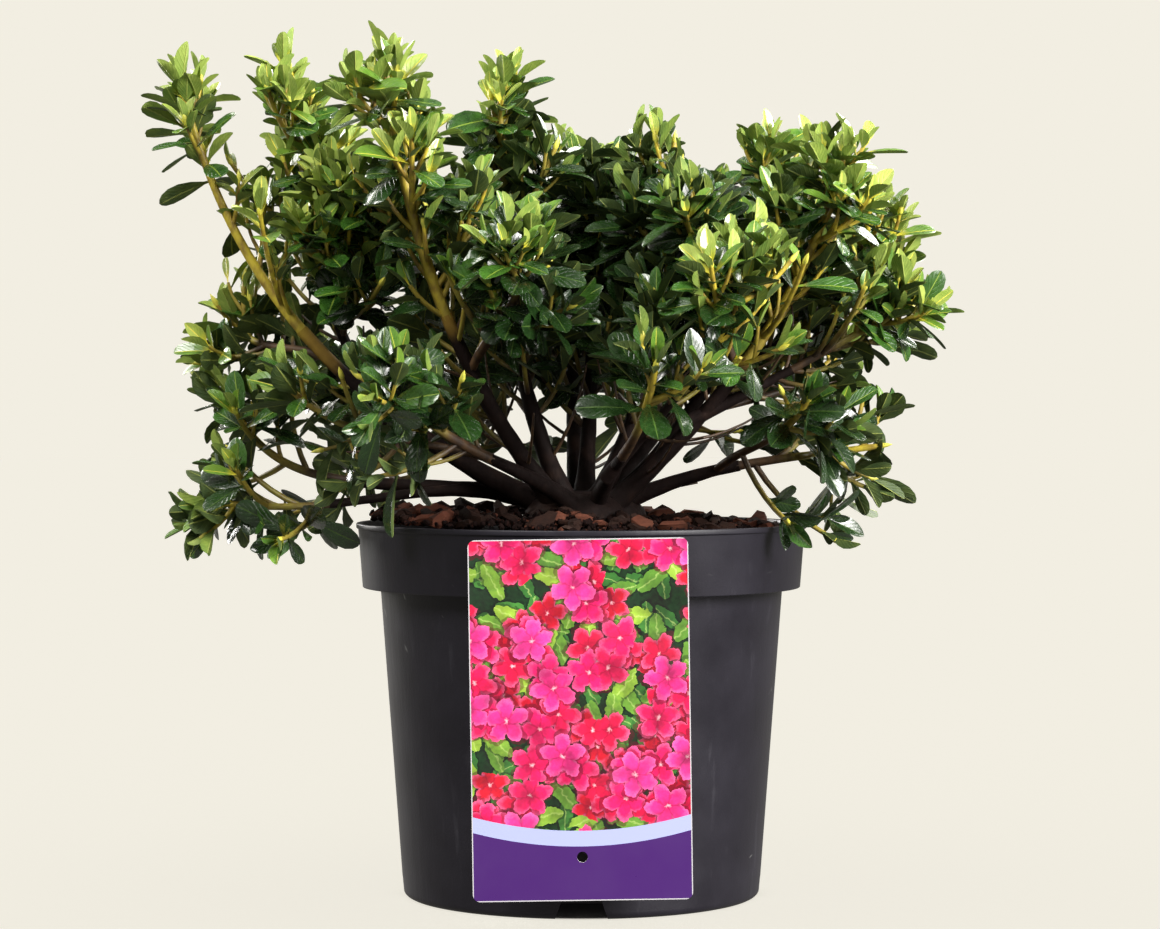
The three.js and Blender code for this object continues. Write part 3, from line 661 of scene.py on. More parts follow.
def leaf_under(name, deep, pale):
    """The dull underside of a leaf, with its midrib and side veins standing out."""
    f = Finish("leaf_under_" + name)
    mottle = f.noise(0.006, 3)
    along, from_rib = leaf_map(f)
    veins = f.between(vein_wave(along, from_rib), 0.6, 1.0)
    rib = f.between(from_rib, 0.02, 0.05, 1.0, 0.0)
    base = f.mix(f.between(mottle, 0.35, 0.65), deep, pale)
    base = f.mix(f.between(from_rib, 0.3, 0.5, 0.0, 0.35), base, deep)
    base = f.mix(veins * 0.25, base, pale)
    base = f.mix(rib * 0.6, base, (176, 186, 92))
    height = mottle * 0.4 + veins * 0.4 + rib
    return f.done(base, 0.62, f.bump(height, 0.0003))


def leaf_rib(name, colour, streak):
    f = Finish("leaf_rib_" + name)
    base = f.mix(f.noise(0.003, 2), colour, streak)
    return f.done(base, 0.42)


def backdrop_paper():
    f = Finish("backdrop_paper")
    glow = {"Emission_Color": paint(*PAPER), "Emission_Strength": 1.0}
    return f.done((0, 0, 0, 1), 1.0, Specular_IOR_Level=0.0, **glow)


def floor_paper():
    """Pale paper that glows evenly, with a painted shadow under the pot, where no light comes."""
    f = Finish("floor_paper")
    reach = f.vector("LENGTH", f.place, output="Value")
    # Painted shadow: the floor's glow fades to black under the pot's foot
    unshadowed_share = f.between(reach, *(WALL_RADIUS.base + off for off in STUDIO.shadow_edge))
    glow_with_painted_shadow = f.mix(unshadowed_share, (0, 0, 0), PAPER)
    glow = {"Emission_Color": glow_with_painted_shadow, "Emission_Strength": 1 - STUDIO.floor * STUDIO.room}
    return f.done((STUDIO.floor, STUDIO.floor, STUDIO.floor, 1), 1.0, Specular_IOR_Level=0.0, **glow)


# Making and finishing a piece

def finished(piece, slot, *nodes):
    """A piece of the part: it rides on its body and stands for some CAD nodes. Its slot is not used."""
    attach(piece, BODY)
    if nodes:
        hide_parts(*nodes)
    return piece


def only(piece):
    bpy.ops.object.select_all(action="DESELECT")
    piece.select_set(True)
    bpy.context.view_layer.objects.active = piece


def mode(name):
    bpy.ops.object.mode_set(mode=name)


def edit_picked(piece, kind, pick):
    """Edit mode, with only those edges or faces of a mesh selected that pick() gives."""
    mode("EDIT")
    bpy.ops.mesh.select_mode(type=kind)
    bpy.ops.mesh.select_all(action="DESELECT")
    mode("OBJECT")
    for part in pick(piece.data):
        part.select = True
    mode("EDIT")


def applied(piece, kind, **settings):
    """Adds a modifier to a piece and applies it."""
    only(piece)
    modifier = piece.modifiers.new(kind.lower(), kind)
    for name, value in settings.items():
        setattr(modifier, name, value)
    bpy.ops.object.modifier_apply(modifier=modifier.name)


def settled(piece, name, *materials, angle=40):
    """The finished mesh with its place in it, its name and materials, smooth but for its sharp edges."""
    only(piece)
    bpy.ops.object.transform_apply()
    bpy.ops.object.shade_smooth_by_angle(angle=radians(angle))
    piece.name = name
    for material in materials:
        piece.data.materials.append(material)
    return piece


def mesh_piece(name, points, faces, materials, kinds=None, angle=40, maps=None):
    """A piece from arrays: its points, its faces as rows of point numbers (-1 fills a short row), and the
    material of each face."""
    mesh = bpy.data.meshes.new(name)
    used = faces >= 0
    counts = used.sum(axis=1)
    loops = faces[used]
    mesh.vertices.add(len(points))
    mesh.vertices.foreach_set("co", np.ascontiguousarray(points, dtype=np.float32).ravel())
    mesh.loops.add(len(loops))
    mesh.loops.foreach_set("vertex_index", loops.astype(np.int32))
    mesh.polygons.add(len(counts))
    mesh.polygons.foreach_set("loop_start", np.concatenate([[0], np.cumsum(counts)[:-1]]).astype(np.int32))
    for material in materials:
        mesh.materials.append(material)
    if kinds is not None:
        mesh.polygons.foreach_set("material_index", kinds.astype(np.int32))
    if maps is not None:
        layer = mesh.uv_layers.new(name="leaf")
        layer.data.foreach_set("uv", maps[loops].astype(np.float32).ravel())
    mesh.update(calc_edges=True)
    mesh.validate()
    piece = bpy.data.objects.new(name, mesh)
    bpy.context.scene.collection.objects.link(piece)
    only(piece)
    bpy.ops.object.shade_smooth_by_angle(angle=radians(angle))
    return piece


def tiled(faces, copies, stride):
    """The faces of many copies of a shape, each with so many points."""
    shift = np.arange(copies)[:, None, None] * stride
    all_faces = np.where(faces[None] >= 0, faces[None] + shift, -1)
    return all_faces.reshape(-1, faces.shape[1])


def tube_faces(rings, sides, start=0, wide=4):
    """Faces of a closed tube of rings of points, with a face over each end. Short rows are filled with -1.
    The tube's first point has the number start."""
    around = np.arange(sides)
    after = (around + 1) % sides
    low = sides * np.arange(rings - 1)[:, None]
    walls = np.stack([low + around, low + after, low + sides + after, low + sides + around], axis=2)
    faces = -np.ones((walls[..., 0].size + 2, max(wide, sides)), dtype=int)
    faces[:-2, :4] = walls.reshape(-1, 4) + start
    faces[-2, :sides] = around[::-1] + start
    faces[-1, :sides] = (rings - 1) * sides + around + start
    return faces


def tube_piece(name, material, angle, tubes, youths=None):
    """A piece of many closed tubes, each an array of rings of points. The youth of the wood at each ring
    gives the piece its colours."""
    wide = max(rings.shape[1] for rings in tubes)
    faces, start = [], 0
    for rings in tubes:
        faces.append(tube_faces(*rings.shape[:2], start, wide))
        start += rings[..., 0].size
    points = np.concatenate([rings.reshape(-1, 3) for rings in tubes])
    piece = mesh_piece(name, points, np.concatenate(faces), [material], angle=angle)
    if youths:
        values = np.concatenate([np.repeat(own, rings.shape[1]) for own, rings in zip(youths, tubes)])
        layer = piece.data.attributes.new("youth", "FLOAT", "POINT")
        layer.data.foreach_set("value", values.astype(np.float32))
    return piece


def ring_points(points, radii, side, sides):
    """Points round a line: a ring at each point of it, at a radius that may change round the ring."""
    along = unit(np.gradient(points, axis=0))
    across = unit(side - (along @ side)[:, None] * along)
    over = np.cross(along, across)
    turns = 2 * pi * np.arange(sides) / sides
    out = across[:, None] * np.cos(turns)[None, :, None] + over[:, None] * np.sin(turns)[None, :, None]
    wide = radii if radii.ndim == 2 else radii[:, None]
    return points[:, None] + out * wide[..., None]


# Pot

collar_top = LIP.radius - LIP.proud
lip_under = POT.height - LIP.height
POT_INSIDE = [
    (collar_top - POT.wall, POT.height),
    (collar_top - COLLAR.taper - POT.wall, COLLAR.bottom + POT.wall),
    (WALL_RADIUS.top - POT.wall, COLLAR.bottom + POT.wall),
    (WALL_RADIUS.foot - POT.wall, FOOT.round + POT.floor),
    (WALL_RADIUS.base - POT.wall, POT.floor),
]
FOOT_TURNS = [pi / 2 * (i + 1) / FOOT.steps for i in range(FOOT.steps)]
WALL_OUTSIDE = [(WALL_RADIUS.base + FOOT.round * sin(a), FOOT.round * (1 - cos(a))) for a in FOOT_TURNS]
WALL_OUTSIDE.append((WALL_RADIUS.top, COLLAR.bottom))
POT_OUTSIDE = WALL_OUTSIDE + [
    (collar_top - COLLAR.taper, COLLAR.bottom),
    (collar_top, lip_under),
    (LIP.radius, lip_under),
    (LIP.radius, POT.height),
]


def raised_ring(radius, height, sides, section):
    """A round shell: a disc whose edge is drawn through each point of a section, and closed."""
    foot = {"fill_type": "NGON", "location": (0, 0, height)}
    bpy.ops.mesh.primitive_circle_add(vertices=sides, radius=radius, **foot)
    shell = bpy.context.object
    mode("EDIT")
    bpy.ops.mesh.select_mode(type="EDGE")
    now, level = radius, height
    for r, z in section:
        bpy.ops.mesh.extrude_edges_move(TRANSFORM_OT_translate={"value": (0, 0, z - level)})
        scale = r / now
        centre = (0, 0, z)
        bpy.ops.transform.resize(value=(scale, scale, 1), center_override=centre)
        now, level = r, z
    bpy.ops.mesh.edge_face_add()
    bpy.ops.mesh.select_all(action="SELECT")
    bpy.ops.mesh.normals_make_consistent(inside=False)
    mode("OBJECT")
    return shell


def channel_ridge(index, grow, start, height):
    """A drain channel's trapezoid ridge, from its inner end out through the wall."""
    length = LIP.radius - start
    foot = CHANNEL.foot + 2 * grow
    crown = CHANNEL.crown + 2 * grow
    place = (0, -(start + length / 2), (height - CHANNEL.below) / 2)
    bpy.ops.mesh.primitive_cube_add(size=1, location=place)
    ridge = bpy.context.object
    ridge.scale = (foot, length, height + CHANNEL.below)
    bpy.ops.object.transform_apply()
    for vertex in ridge.data.vertices:
        if vertex.co.z > height / 2:
            vertex.co.x *= crown / foot
    ridge.rotation_euler = (0, 0, 2 * pi * index / CHANNELS)
    only(ridge)
    bpy.ops.object.transform_apply()
    return ridge


def drain_hole(index):
    out = CHANNEL.inner + DRAIN.outward
    turn = 2 * pi * index / CHANNELS
    place = (out * sin(turn), -out * cos(turn), CHANNEL.height + CHANNEL.roof / 2)
    deep = 3 * CHANNEL.roof
    bpy.ops.mesh.primitive_cylinder_add(vertices=DRAIN.sides, radius=DRAIN.radius, depth=deep, location=place)
    return bpy.context.object


def cut(piece, tool, operation):
    """Joins a tool to a piece, or cuts the piece with it, and removes the tool."""
    applied(piece, "BOOLEAN", operation=operation, solver="EXACT", object=tool)
    bpy.data.objects.remove(tool)


def make_pot():
    shell = raised_ring(WALL_RADIUS.base, 0.0, POT.sides, POT_OUTSIDE + POT_INSIDE)
    applied(shell, "BEVEL", width=POT.edge, segments=3, limit_method="ANGLE", angle_limit=radians(20))
    inside = raised_ring(WALL_RADIUS.base - GAP, GAP / 10, POT.sides, WALL_OUTSIDE)
    for index in range(CHANNELS):
        roof = channel_ridge(index, CHANNEL.roof, CHANNEL.inner - CHANNEL.roof, CHANNEL.height + CHANNEL.roof)
        applied(roof, "BOOLEAN", operation="INTERSECT", solver="EXACT", object=inside)
        cut(shell, roof, "UNION")
    bpy.data.objects.remove(inside)
    for index in range(CHANNELS):
        cut(shell, channel_ridge(index, 0, CHANNEL.inner, CHANNEL.height), "DIFFERENCE")
        cut(shell, drain_hole(index), "DIFFERENCE")
    return finished(settled(shell, "nursery_pot", pot_plastic(), angle=32), "pot_plastic", "pot")


# Card

def through_sheet(mesh):
    """The card's four edges that lead through its thickness."""
    levels = [vertex.co.y for vertex in mesh.vertices]
    return [e for e in mesh.edges if levels[e.vertices[0]] * levels[e.vertices[1]] < 0]


def make_card():
    low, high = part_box("card")
    centre = (low + high) / 2
    bpy.ops.mesh.primitive_cube_add(size=1)
    card = bpy.context.object
    card.scale = (CARD.width, CARD.thick, CARD.height)
    bpy.ops.object.transform_apply()
    edit_picked(card, "EDGE", through_sheet)
    bpy.ops.mesh.bevel(offset=CARD.corner, segments=8, affect="EDGES")
    mode("OBJECT")
    hole = (0, 0, CARD_HOLE.up - CARD.height / 2)
    bpy.ops.mesh.primitive_cylinder_add(
        vertices=CARD_HOLE.sides, radius=CARD_HOLE.radius, depth=0.01, location=hole, rotation=(pi / 2, 0, 0)
    )
    cut(card, bpy.context.object, "DIFFERENCE")
    card.rotation_euler = (0, radians(-CARD.turn), 0)
    card.location = centre
    settled(card, "picture_card", card_print(tuple(centre)), card_back(), angle=20)
    for face in card.data.polygons:
        face.material_index = 0 if face.normal.y < -0.9 else 1
    return finished(card, "card", "card")


# Soil, bark chips and crumbs

def soil_height(x, y):
    """The soil's height: heaped round the stems and to the left, falling away to the wall."""
    r = hypot(x, y)
    out = max(0.0, (r - SOIL.flat) / (collar_top - SOIL.flat))
    height = SOIL.level - (SOIL.level - LUMP.edge) * out**2
    return height - LUMP.heap * x / collar_top + LUMP.middle * exp(-((r / LUMP.middle_reach) ** 2))


def lump(x, y, z=0.0):
    coarse = noise.noise(Vector((x, y, z)) / LUMP.coarse_size)
    fine = noise.noise(Vector((x, y, z)) / LUMP.fine_size)
    return LUMP.coarse * coarse + LUMP.fine * fine


def make_soil():
    """The peat: a plug on the channels' roofs that follows the pot's inside, with a lumpy top."""
    _, collar_foot, ledge, foot = POT_INSIDE[:4]
    low_share = (SOIL.low - foot[1]) / (ledge[1] - foot[1])
    edge_share = (POT.height - SOIL.edge) / (POT.height - collar_foot[1])
    edge = lerp(POT_INSIDE[0][0], collar_foot[0], edge_share) - GAP
    section = [
        (ledge[0] - GAP, ledge[1] + GAP),
        (collar_foot[0] - GAP, collar_foot[1] + GAP),
        (edge, SOIL.edge - 2 * LUMP.heap),
    ]
    plug = raised_ring(lerp(foot[0], ledge[0], low_share) - GAP, SOIL.low, SOIL.around, section)
    edit_picked(plug, "FACE", lambda mesh: [max(mesh.polygons, key=lambda face: face.center.z)])
    for _ in range(1, SOIL.rings):
        bpy.ops.mesh.inset(thickness=edge / SOIL.rings)
    bpy.ops.mesh.poke()
    mode("OBJECT")
    floor_level = SOIL.edge - 2 * LUMP.heap - GAP
    for vertex in plug.data.vertices:
        x, y, z = vertex.co
        if z > floor_level:
            vertex.co.z = soil_height(x, y) + lump(x, y)
    return finished(settled(plug, "peat", peat(), angle=60), "soil", "soil")


def chips_of(name, plan, seed, materials, limits, limbs):
    """Broken bits scattered over the soil: rings of a few points, thick in the middle and ragged round. Each
    takes the first material whose limit its own random number doesn't pass."""
    random = random_from(seed)
    sides = plan.sides
    edge = collar_top - POT.wall - CHIP_FIELD.off_wall
    shapes, kinds = [], []
    turns = 2 * pi * np.arange(sides) / sides
    for i in range(plan.count):
        r = lerp(CHIP_FIELD.inside, edge, sqrt((i + 0.5) / plan.count))
        way = i * TURN + CHIP_FIELD.turned * next(random)
        size = lerp(*plan.length, next(random) ** CHIP_FIELD.short)
        x, y, _ = polar(r, way, 0)
        ragged = np.array([lerp(*CHIP_SHAPE.ragged, next(random)) for _ in range(sides)])
        wide = plan.width * lerp(*CHIP_SHAPE.wide, next(random))
        thick = plan.thick * lerp(*CHIP_SHAPE.thick, next(random))
        lean, tilt = (lerp(-plan.lean, plan.lean, next(random)) for _ in range(2))
        spin = 2 * pi * next(random)
        tint = next(random)
        rings = []
        for level, share in CHIP_SHAPE.rings:
            outline = [np.cos(turns) * ragged * share / 2, np.sin(turns) * ragged * share * wide / 2]
            rise = level * thick + CHIP_SHAPE.wave * thick * np.sin(3 * turns + size)
            rings.append(np.stack([*outline, rise], axis=1))
        shape = np.concatenate(rings) * size
        z = soil_height(x, y) + lump(x, y) + plan.sunk + 0.25 * thick * size
        shape = rotated(shape, lean, tilt, spin) + np.array([x, y, z])
        if r > edge - size / 2 and z - size * 0.4 < POT.height:
            shape[:, :2] *= (edge - size / 2) / r
        middle = shape.mean(axis=0)[None]
        if min(limb.clear_of(middle)[0] for limb in limbs) >= size * CHIP_FIELD.off_bough:
            shapes.append(shape)
            kinds.append(next(k for k, limit in enumerate(limits) if tint <= limit))
    faces = tube_faces(len(CHIP_SHAPE.rings), sides)
    of_face = np.repeat(np.array(kinds), len(faces))
    tiles = tiled(faces, len(shapes), len(CHIP_SHAPE.rings) * sides)
    piece = mesh_piece(name, np.concatenate(shapes), tiles, materials, of_face, angle=35)
    return finished(piece, "soil")


def rotated(points, lean, tilt, spin):
    about_x = np.array([[1, 0, 0], [0, cos(lean), -sin(lean)], [0, sin(lean), cos(lean)]])
    about_y = np.array([[cos(tilt), 0, sin(tilt)], [0, 1, 0], [-sin(tilt), 0, cos(tilt)]])
    about_z = np.array([[cos(spin), -sin(spin), 0], [sin(spin), cos(spin), 0], [0, 0, 1]])
    return points @ (about_z @ about_y @ about_x).T


# Limbs: a bare bough first, then the stem of a mass of leaves

def distance_to(line, points):
    """From each point to a line of points: the least distance, and the share of the line where that is."""
    a, b = line[:-1], line[1:]
    step = b - a
    share = ((points[:, None] - a) * step).sum(axis=2) / (step**2).sum(axis=1)
    share = np.clip(share, 0, 1)
    gap = np.linalg.norm(points[:, None] - (a + share[..., None] * step), axis=2)
    piece = gap.argmin(axis=1)
    row = np.arange(len(points))
    return gap[row, piece], (piece + share[row, piece]) / len(step)


class Limb:
    """A limb from where it springs to its tip, by the rule of the solids."""

    def __init__(self, name, plan, start, root=None):
        self.name = name
        self.plan = plan
        self.bare = plan.bare
        tip = polar(plan.out, plan.way, SOIL.level + plan.up)
        level = unit((tip - start) * [1, 1, 0])
        pull = PULL * np.linalg.norm(tip - start)
        leave, arrive = (level * cos(radians(s)) + UP * sin(radians(s)) for s in plan.slopes)
        self.corners = np.array([start, start + leave * pull, tip - arrive * pull, tip])
        self.side = np.cross(level, UP)
        line = self.at(np.linspace(0, 1, LENGTH_STEPS + 1))
        self.length = np.linalg.norm(np.diff(line, axis=0), axis=1).sum()
        self.root = root or GIRTH.least + GIRTH.per_length * self.length
        leans = hypot(tip[0], tip[1]) > YOUNG_WOOD.out and tip[2] > YOUNG_WOOD.height
        self.young = YOUNG_WOOD.leaning if leans else YOUNG_WOOD.others
        self.bough_line = self.at(np.linspace(0, self.bare, LINE_STEPS + 1)) if self.bare else None
        self.stem_line = self.at(np.linspace(self.bare, 1, LINE_STEPS + 1))

    def at(self, t):
        t = np.asarray(t, dtype=float)[..., None]
        a, b, c, d = self.corners
        return (1 - t) ** 3 * a + 3 * (1 - t) ** 2 * t * b + 3 * (1 - t) * t**2 * c + t**3 * d

    def along(self, t):
        step = 1e-4
        return unit(self.at(min(1, t + step)) - self.at(max(0, t - step)))

    def radius(self, t):
        return lerp(self.root, GIRTH.tip, np.asarray(t, dtype=float) ** GIRTH.fall)

    def youth(self, t):
        """How young the wood is: 0 is old bark, 1 this year's shoot."""
        first, last = self.young
        return np.clip((np.asarray(t) - first) / (last - first), 0, 1)

    def foot(self, t):
        """What a shoot takes from where it springs: the place, the ways along and across, and the youth."""
        return self.at(t), self.along(t), self.side, float(self.youth(t))

    def clear_of(self, points):
        """How far points lie outside the bough's bark."""
        if not self.bare:
            return np.full(len(points), np.inf)
        gap, share = distance_to(self.bough_line, points)
        return gap - self.radius(share * self.bare)


def grow_limbs():
    limbs = {}
    ring = [name for name, plan in LIMBS.items() if plan.origin == "ring"]
    for name, plan in LIMBS.items():
        if plan.origin in limbs:
            parent = limbs[plan.origin]
            root = float(parent.radius(plan.at)) * GIRTH.fork
            limbs[name] = Limb(name, plan, parent.at(plan.at), root)
        elif name in ring:
            way = RING.first + ring.index(name) * 360 / len(ring)
            limbs[name] = Limb(name, plan, polar(RING.radius, way, SOIL.level + RING.up))
        else:
            limbs[name] = Limb(name, plan, polar(CENTRE.radius, plan.way, SOIL.level + CENTRE.up))
    return list(limbs.values())


def bough_rings(limb):
    """One bough as rings of points, ridged along, knobbly, and flared where it springs; and their youths."""
    count = int(limb.length * limb.bare / BOUGH.step)
    t = np.linspace(-BOUGH.sunk / limb.length, limb.bare, count)
    centre = limb.at(t)
    from_root = np.clip(t, 0, 1) * limb.length
    radius = limb.radius(np.clip(t, 0, 1)) * (1 + BOUGH.flare * np.exp(-from_root / BOUGH.flare_length))
    shift = Vector((limb.root * 1000, limb.length * 100, 0))
    relief = np.zeros((count, BOUGH.sides))
    for i in range(count):
        knob = noise.noise(Vector(centre[i]) / BARK_RELIEF.knob_size)
        for j in range(BOUGH.sides):
            turn = 2 * pi * j / BOUGH.sides
            x, y = cos(turn) * BARK_RELIEF.ridges, sin(turn) * BARK_RELIEF.ridges
            ridge = noise.noise(2 * Vector((x, y, from_root[i] / BARK_RELIEF.along)) + shift)
            relief[i, j] = BARK_RELIEF.ridge * ridge + BARK_RELIEF.knob * knob
    return ring_points(centre, radius[:, None] * (1 + relief), limb.side, BOUGH.sides), limb.youth(t)


def crown_rings():
    """The low stump at the soil: a dome of rings of points, flared into lobes where its roots go down."""
    foot = SOIL.level + GAP
    points = np.zeros((CROWN.rings, CROWN.around, 3))
    for i in range(CROWN.rings):
        share = i / (CROWN.rings - 1)
        out = CROWN.radius * cos(share * pi / 2 * CROWN.drawn_in) ** CROWN.swell
        rise = CROWN.height * sin(share * pi / 2)
        for j in range(CROWN.around):
            turn = 2 * pi * j / CROWN.around
            lobe = 1 + CROWN.lobed * cos(CROWN.lobes * turn) * (out / CROWN.radius) ** 2
            spot = Vector((cos(turn) * out, sin(turn) * out, rise)) / CROWN.rough_size
            lobe += CROWN.rough * noise.noise(spot)
            height = foot + rise - CROWN.sunk * (i == 0)
            points[i, j] = out * lobe * cos(turn), out * lobe * sin(turn), height
    return points, np.zeros(CROWN.rings)


def make_bark(limbs):
    """Trunk and boughs in one mesh with the bark's relief."""
    boughs = [limb for limb in limbs if limb.bare]
    tubes, youths = zip(crown_rings(), *(bough_rings(limb) for limb in boughs))
    piece = tube_piece("trunk_and_boughs", stem_bark(), 60, tubes, youths)
    return finished(piece, "bark", "trunk", *("bough_" + limb.name for limb in boughs))


# Shoots and leaves

class Shoot:
    """A line of points with its radius and its wood's youth at each, its kind, the light at its tip, the
    number of its mass's limb, and its parent: the twig that it is on, or else itself."""

    def __init__(self, line, radii, youths, kind, owner, side):
        self.line = line
        self.radii = radii
        self.youths = youths
        self.kind = kind
        self.light = float(light_at(line[-1]))
        self.owner = owner
        self.side = side
        self.parent = self
        steps = np.linalg.norm(np.diff(line, axis=0), axis=1)
        self.length = steps.sum()
        self.shares = np.concatenate([[0], np.cumsum(steps)]) / self.length

    def at(self, share):
        return np.array([np.interp(share, self.shares, self.line[:, k]) for k in range(3)])

    def along(self, share):
        step = 0.04
        return unit(self.at(min(1, share + step)) - self.at(max(0, share - step)))

    def foot(self, share):
        """What a finer shoot takes from where it springs, as a limb's foot gives it."""
        return self.at(share), self.along(share), self.side, np.interp(share, self.shares, self.youths)


def branch(foot, kind, share, turn, size, owner):
    """A shoot that springs at an angle and bends upwards, shorter towards its parent's tip."""
    plan = SHOOTS[kind]
    parent_at, along, side, youth = foot
    out = side * cos(turn) + np.cross(along, side) * sin(turn)
    length = plan.length * (1 - plan.shorten * share) * size
    spread = radians(plan.spread)
    lift = plan.lift * lift_at(parent_at[2])
    aim = unit(along * cos(spread) + out * sin(spread) + UP * lift)
    steps = np.linspace(0, 1, ROD.steps + 1)[:, None]
    bent = unit(np.cross(np.cross(aim, UP), aim) + TINY) * ROD.bend * length
    line = parent_at + aim * length * steps + bent * (steps**2 - steps * ROD.lowest)
    radii = np.linspace(*plan.girth, len(line))
    youths = np.linspace(youth, max(youth, YOUNG_WOOD.twig), len(line)) * (kind != "dead")
    return Shoot(line, radii, youths, kind, owner, unit(np.cross(aim, UP) + TINY))


def springing(parent, low, high, kind, shares, random, owner, longer=0.0):
    """Shoots a golden angle apart on a stretch of their parent, each with a size of its own."""
    plan = SHOOTS[kind]
    first = 360 * next(random)
    shoots = []
    for i, share in enumerate(shares):
        foot = parent.foot(lerp(low, high, lerp(plan.first, plan.last, share)))
        size = lerp(*SHOOT_SIZE, next(random)) + longer
        shoots.append(branch(foot, kind, share, radians(first + i * TURN), size, owner))
    return shoots


def even(count):
    """Shares from 0 to 1, evenly apart."""
    return [i / (count - 1) for i in range(count)]


def shoots_of(limb, owner, seed):
    """The stem of a mass, the twigs that the solids have, and finer shoots on both."""
    random = random_from(seed)
    finer = random_from(seed + SEEDS.finer_shoots)
    plan = limb.plan
    height = limb.corners[3][2]
    share_up = float(np.clip((height - LOW_MASS.height) / (LOW_MASS.top - LOW_MASS.height), 0, 1))
    fullness = plan.full * lerp(LOW_MASS.fewest, 1, share_up)
    end = min(1, 1 + plan.further / limb.length)
    t = np.linspace(limb.bare - STEM.overlap * bool(limb.bare), end, 4 * LINE_STEPS + 1)
    line = limb.at(t)
    line = np.vstack([line, line[-1] + limb.along(end) * max(plan.further, GIRTH.tip)])
    radii = np.append(limb.radius(t), GIRTH.tip * STEM.tip)
    shoots = [Shoot(line, radii, limb.youth(np.append(t, 1)), "leader", owner, limb.side)]
    longer = REACH_ON / SHOOTS["twig"].length
    twigs = springing(limb, limb.bare, 1, "twig", even(SHOOTS["twig"].count), random, owner, longer)
    shoots += twigs
    shares = even(max(2, round(SHOOTS["side"].count * fullness)))
    shoots += springing(limb, limb.bare, 1, "side", shares, finer, owner)
    if limb.bare and share_up > 0:
        shoots += springing(limb, 0, limb.bare, "inner", even(SHOOTS["inner"].count), finer, owner)
    if limb.bare and share_up > LOW_MASS.no_dead:
        shoots += springing(limb, 0, limb.bare, "dead", even(SHOOTS["dead"].count), finer, owner)
    many = round(SHOOTS["fine"].count * fullness)
    for twig in twigs:
        fine = springing(twig, 0, 1, "fine", [(i + 0.5) / many for i in range(many)], finer, owner)
        for shoot in fine:
            shoot.parent = twig
        shoots += fine
    return shoots


def leaves_on(number, shoot, random):
    """Leaves down a shoot, a golden angle apart: its tuft, then those along it, which open wider."""
    if shoot.kind == "dead":
        return []
    leader = shoot.kind == "leader"
    tuft, tuft_depth = SHOOTS[shoot.kind].tuft
    leafy = shoot.length * (1 - (BARE_FOOT.leader if leader else BARE_FOOT.others))
    along_count = int(max(0, leafy - tuft_depth) / LEAF.spacing)
    first = 360 * next(random)
    found = []
    for i in range(tuft + along_count):
        if i < tuft:
            depth = tuft_depth * (i / tuft) ** LEAF.crowded
            age = i / tuft
        else:
            depth = tuft_depth + (i - tuft + 0.5) * LEAF.spacing
            age = 1 + (i - tuft) / max(1, along_count)
        share = max(0.02, 1 - depth / shoot.length)
        open_to = lerp(OPEN.tip, OPEN.tuft, age ** OPEN.soon)
        if age > 1:
            open_to = lerp(OPEN.tuft, OPEN.foot, age - 1)
        opened = open_to + lerp(-OPEN.jitter, OPEN.jitter, next(random))
        turn = first + i * TURN + lerp(-OPEN.jitter, OPEN.jitter, next(random))
        size = lerp(LEAF.youngest, 1.0, min(1, age * LEAF.grown)) * (1 - LEAF.vary * next(random))
        size *= lerp(LEAF_AT.low, LEAF_AT.high, shoot.light)
        if leader:
            size *= LEAF.leader
        slim = lerp(-1, 1, next(random))
        luck = next(random)
        found.append((number, share, radians(turn), radians(opened), LEAF.length * size, slim, age, luck))
    return found


def placed(shoots, numbers, shares, turns, openings):
    """Where each leaf's root is, and the ways along it, across it and out of its face."""
    roots = np.array([shoots[number].at(share) for number, share in zip(numbers, shares)])
    along = np.array([shoots[number].along(share) for number, share in zip(numbers, shares)])
    lifted = unit(along + UP * (LEAF.lift * np.cos(openings) * lift_at(roots[:, 2]))[:, None])
    side = unit(np.cross([1.0, 0.0, 0.0], lifted))
    out = side * np.cos(turns)[:, None] + np.cross(lifted, side) * np.sin(turns)[:, None]
    axis = lifted * np.cos(openings)[:, None] + out * np.sin(openings)[:, None]
    face = unit(lifted - (lifted * axis).sum(axis=1, keepdims=True) * axis)
    return roots, axis, np.cross(face, axis), face


def seen(points):
    """Where points appear from the camera's side, across and up at the distance of the pot's axis."""
    nearness = CAMERA.back / (CAMERA.back - points[..., 1])
    return points[..., 0] * nearness, CAMERA.height + (points[..., 2] - CAMERA.height) * nearness


def hides_stem(points, limbs):
    """Whether points lie in front of a stem that shows."""
    across, up = (part[..., None] for part in seen(points))
    hides = np.zeros(points.shape[:-1], dtype=bool)
    for limb in limbs:
        if limb.plan.shown:
            line = limb.at(np.linspace(*limb.plan.shown, 2 * LINE_STEPS))
            line_across, line_up = seen(line)
            near = np.hypot(across - line_across, up - line_up) < SHOWN_REACH
            hides |= (near & (points[..., 1:2] < line[:, 1])).any(axis=-1)
    return hides


def in_sky(points, margin=1.0):
    """Whether points lie in front of or behind an opening of the crown, seen from the camera's side."""
    across, up = seen(points)
    inside = np.zeros(across.shape, dtype=bool)
    for (x, z), (wide, tall), *depth in SKY.values():
        opening = np.hypot((across - x) / wide, (up - z) / tall) < margin
        inside |= opening & (points[..., 1] < depth[0]) if depth else opening
    return inside


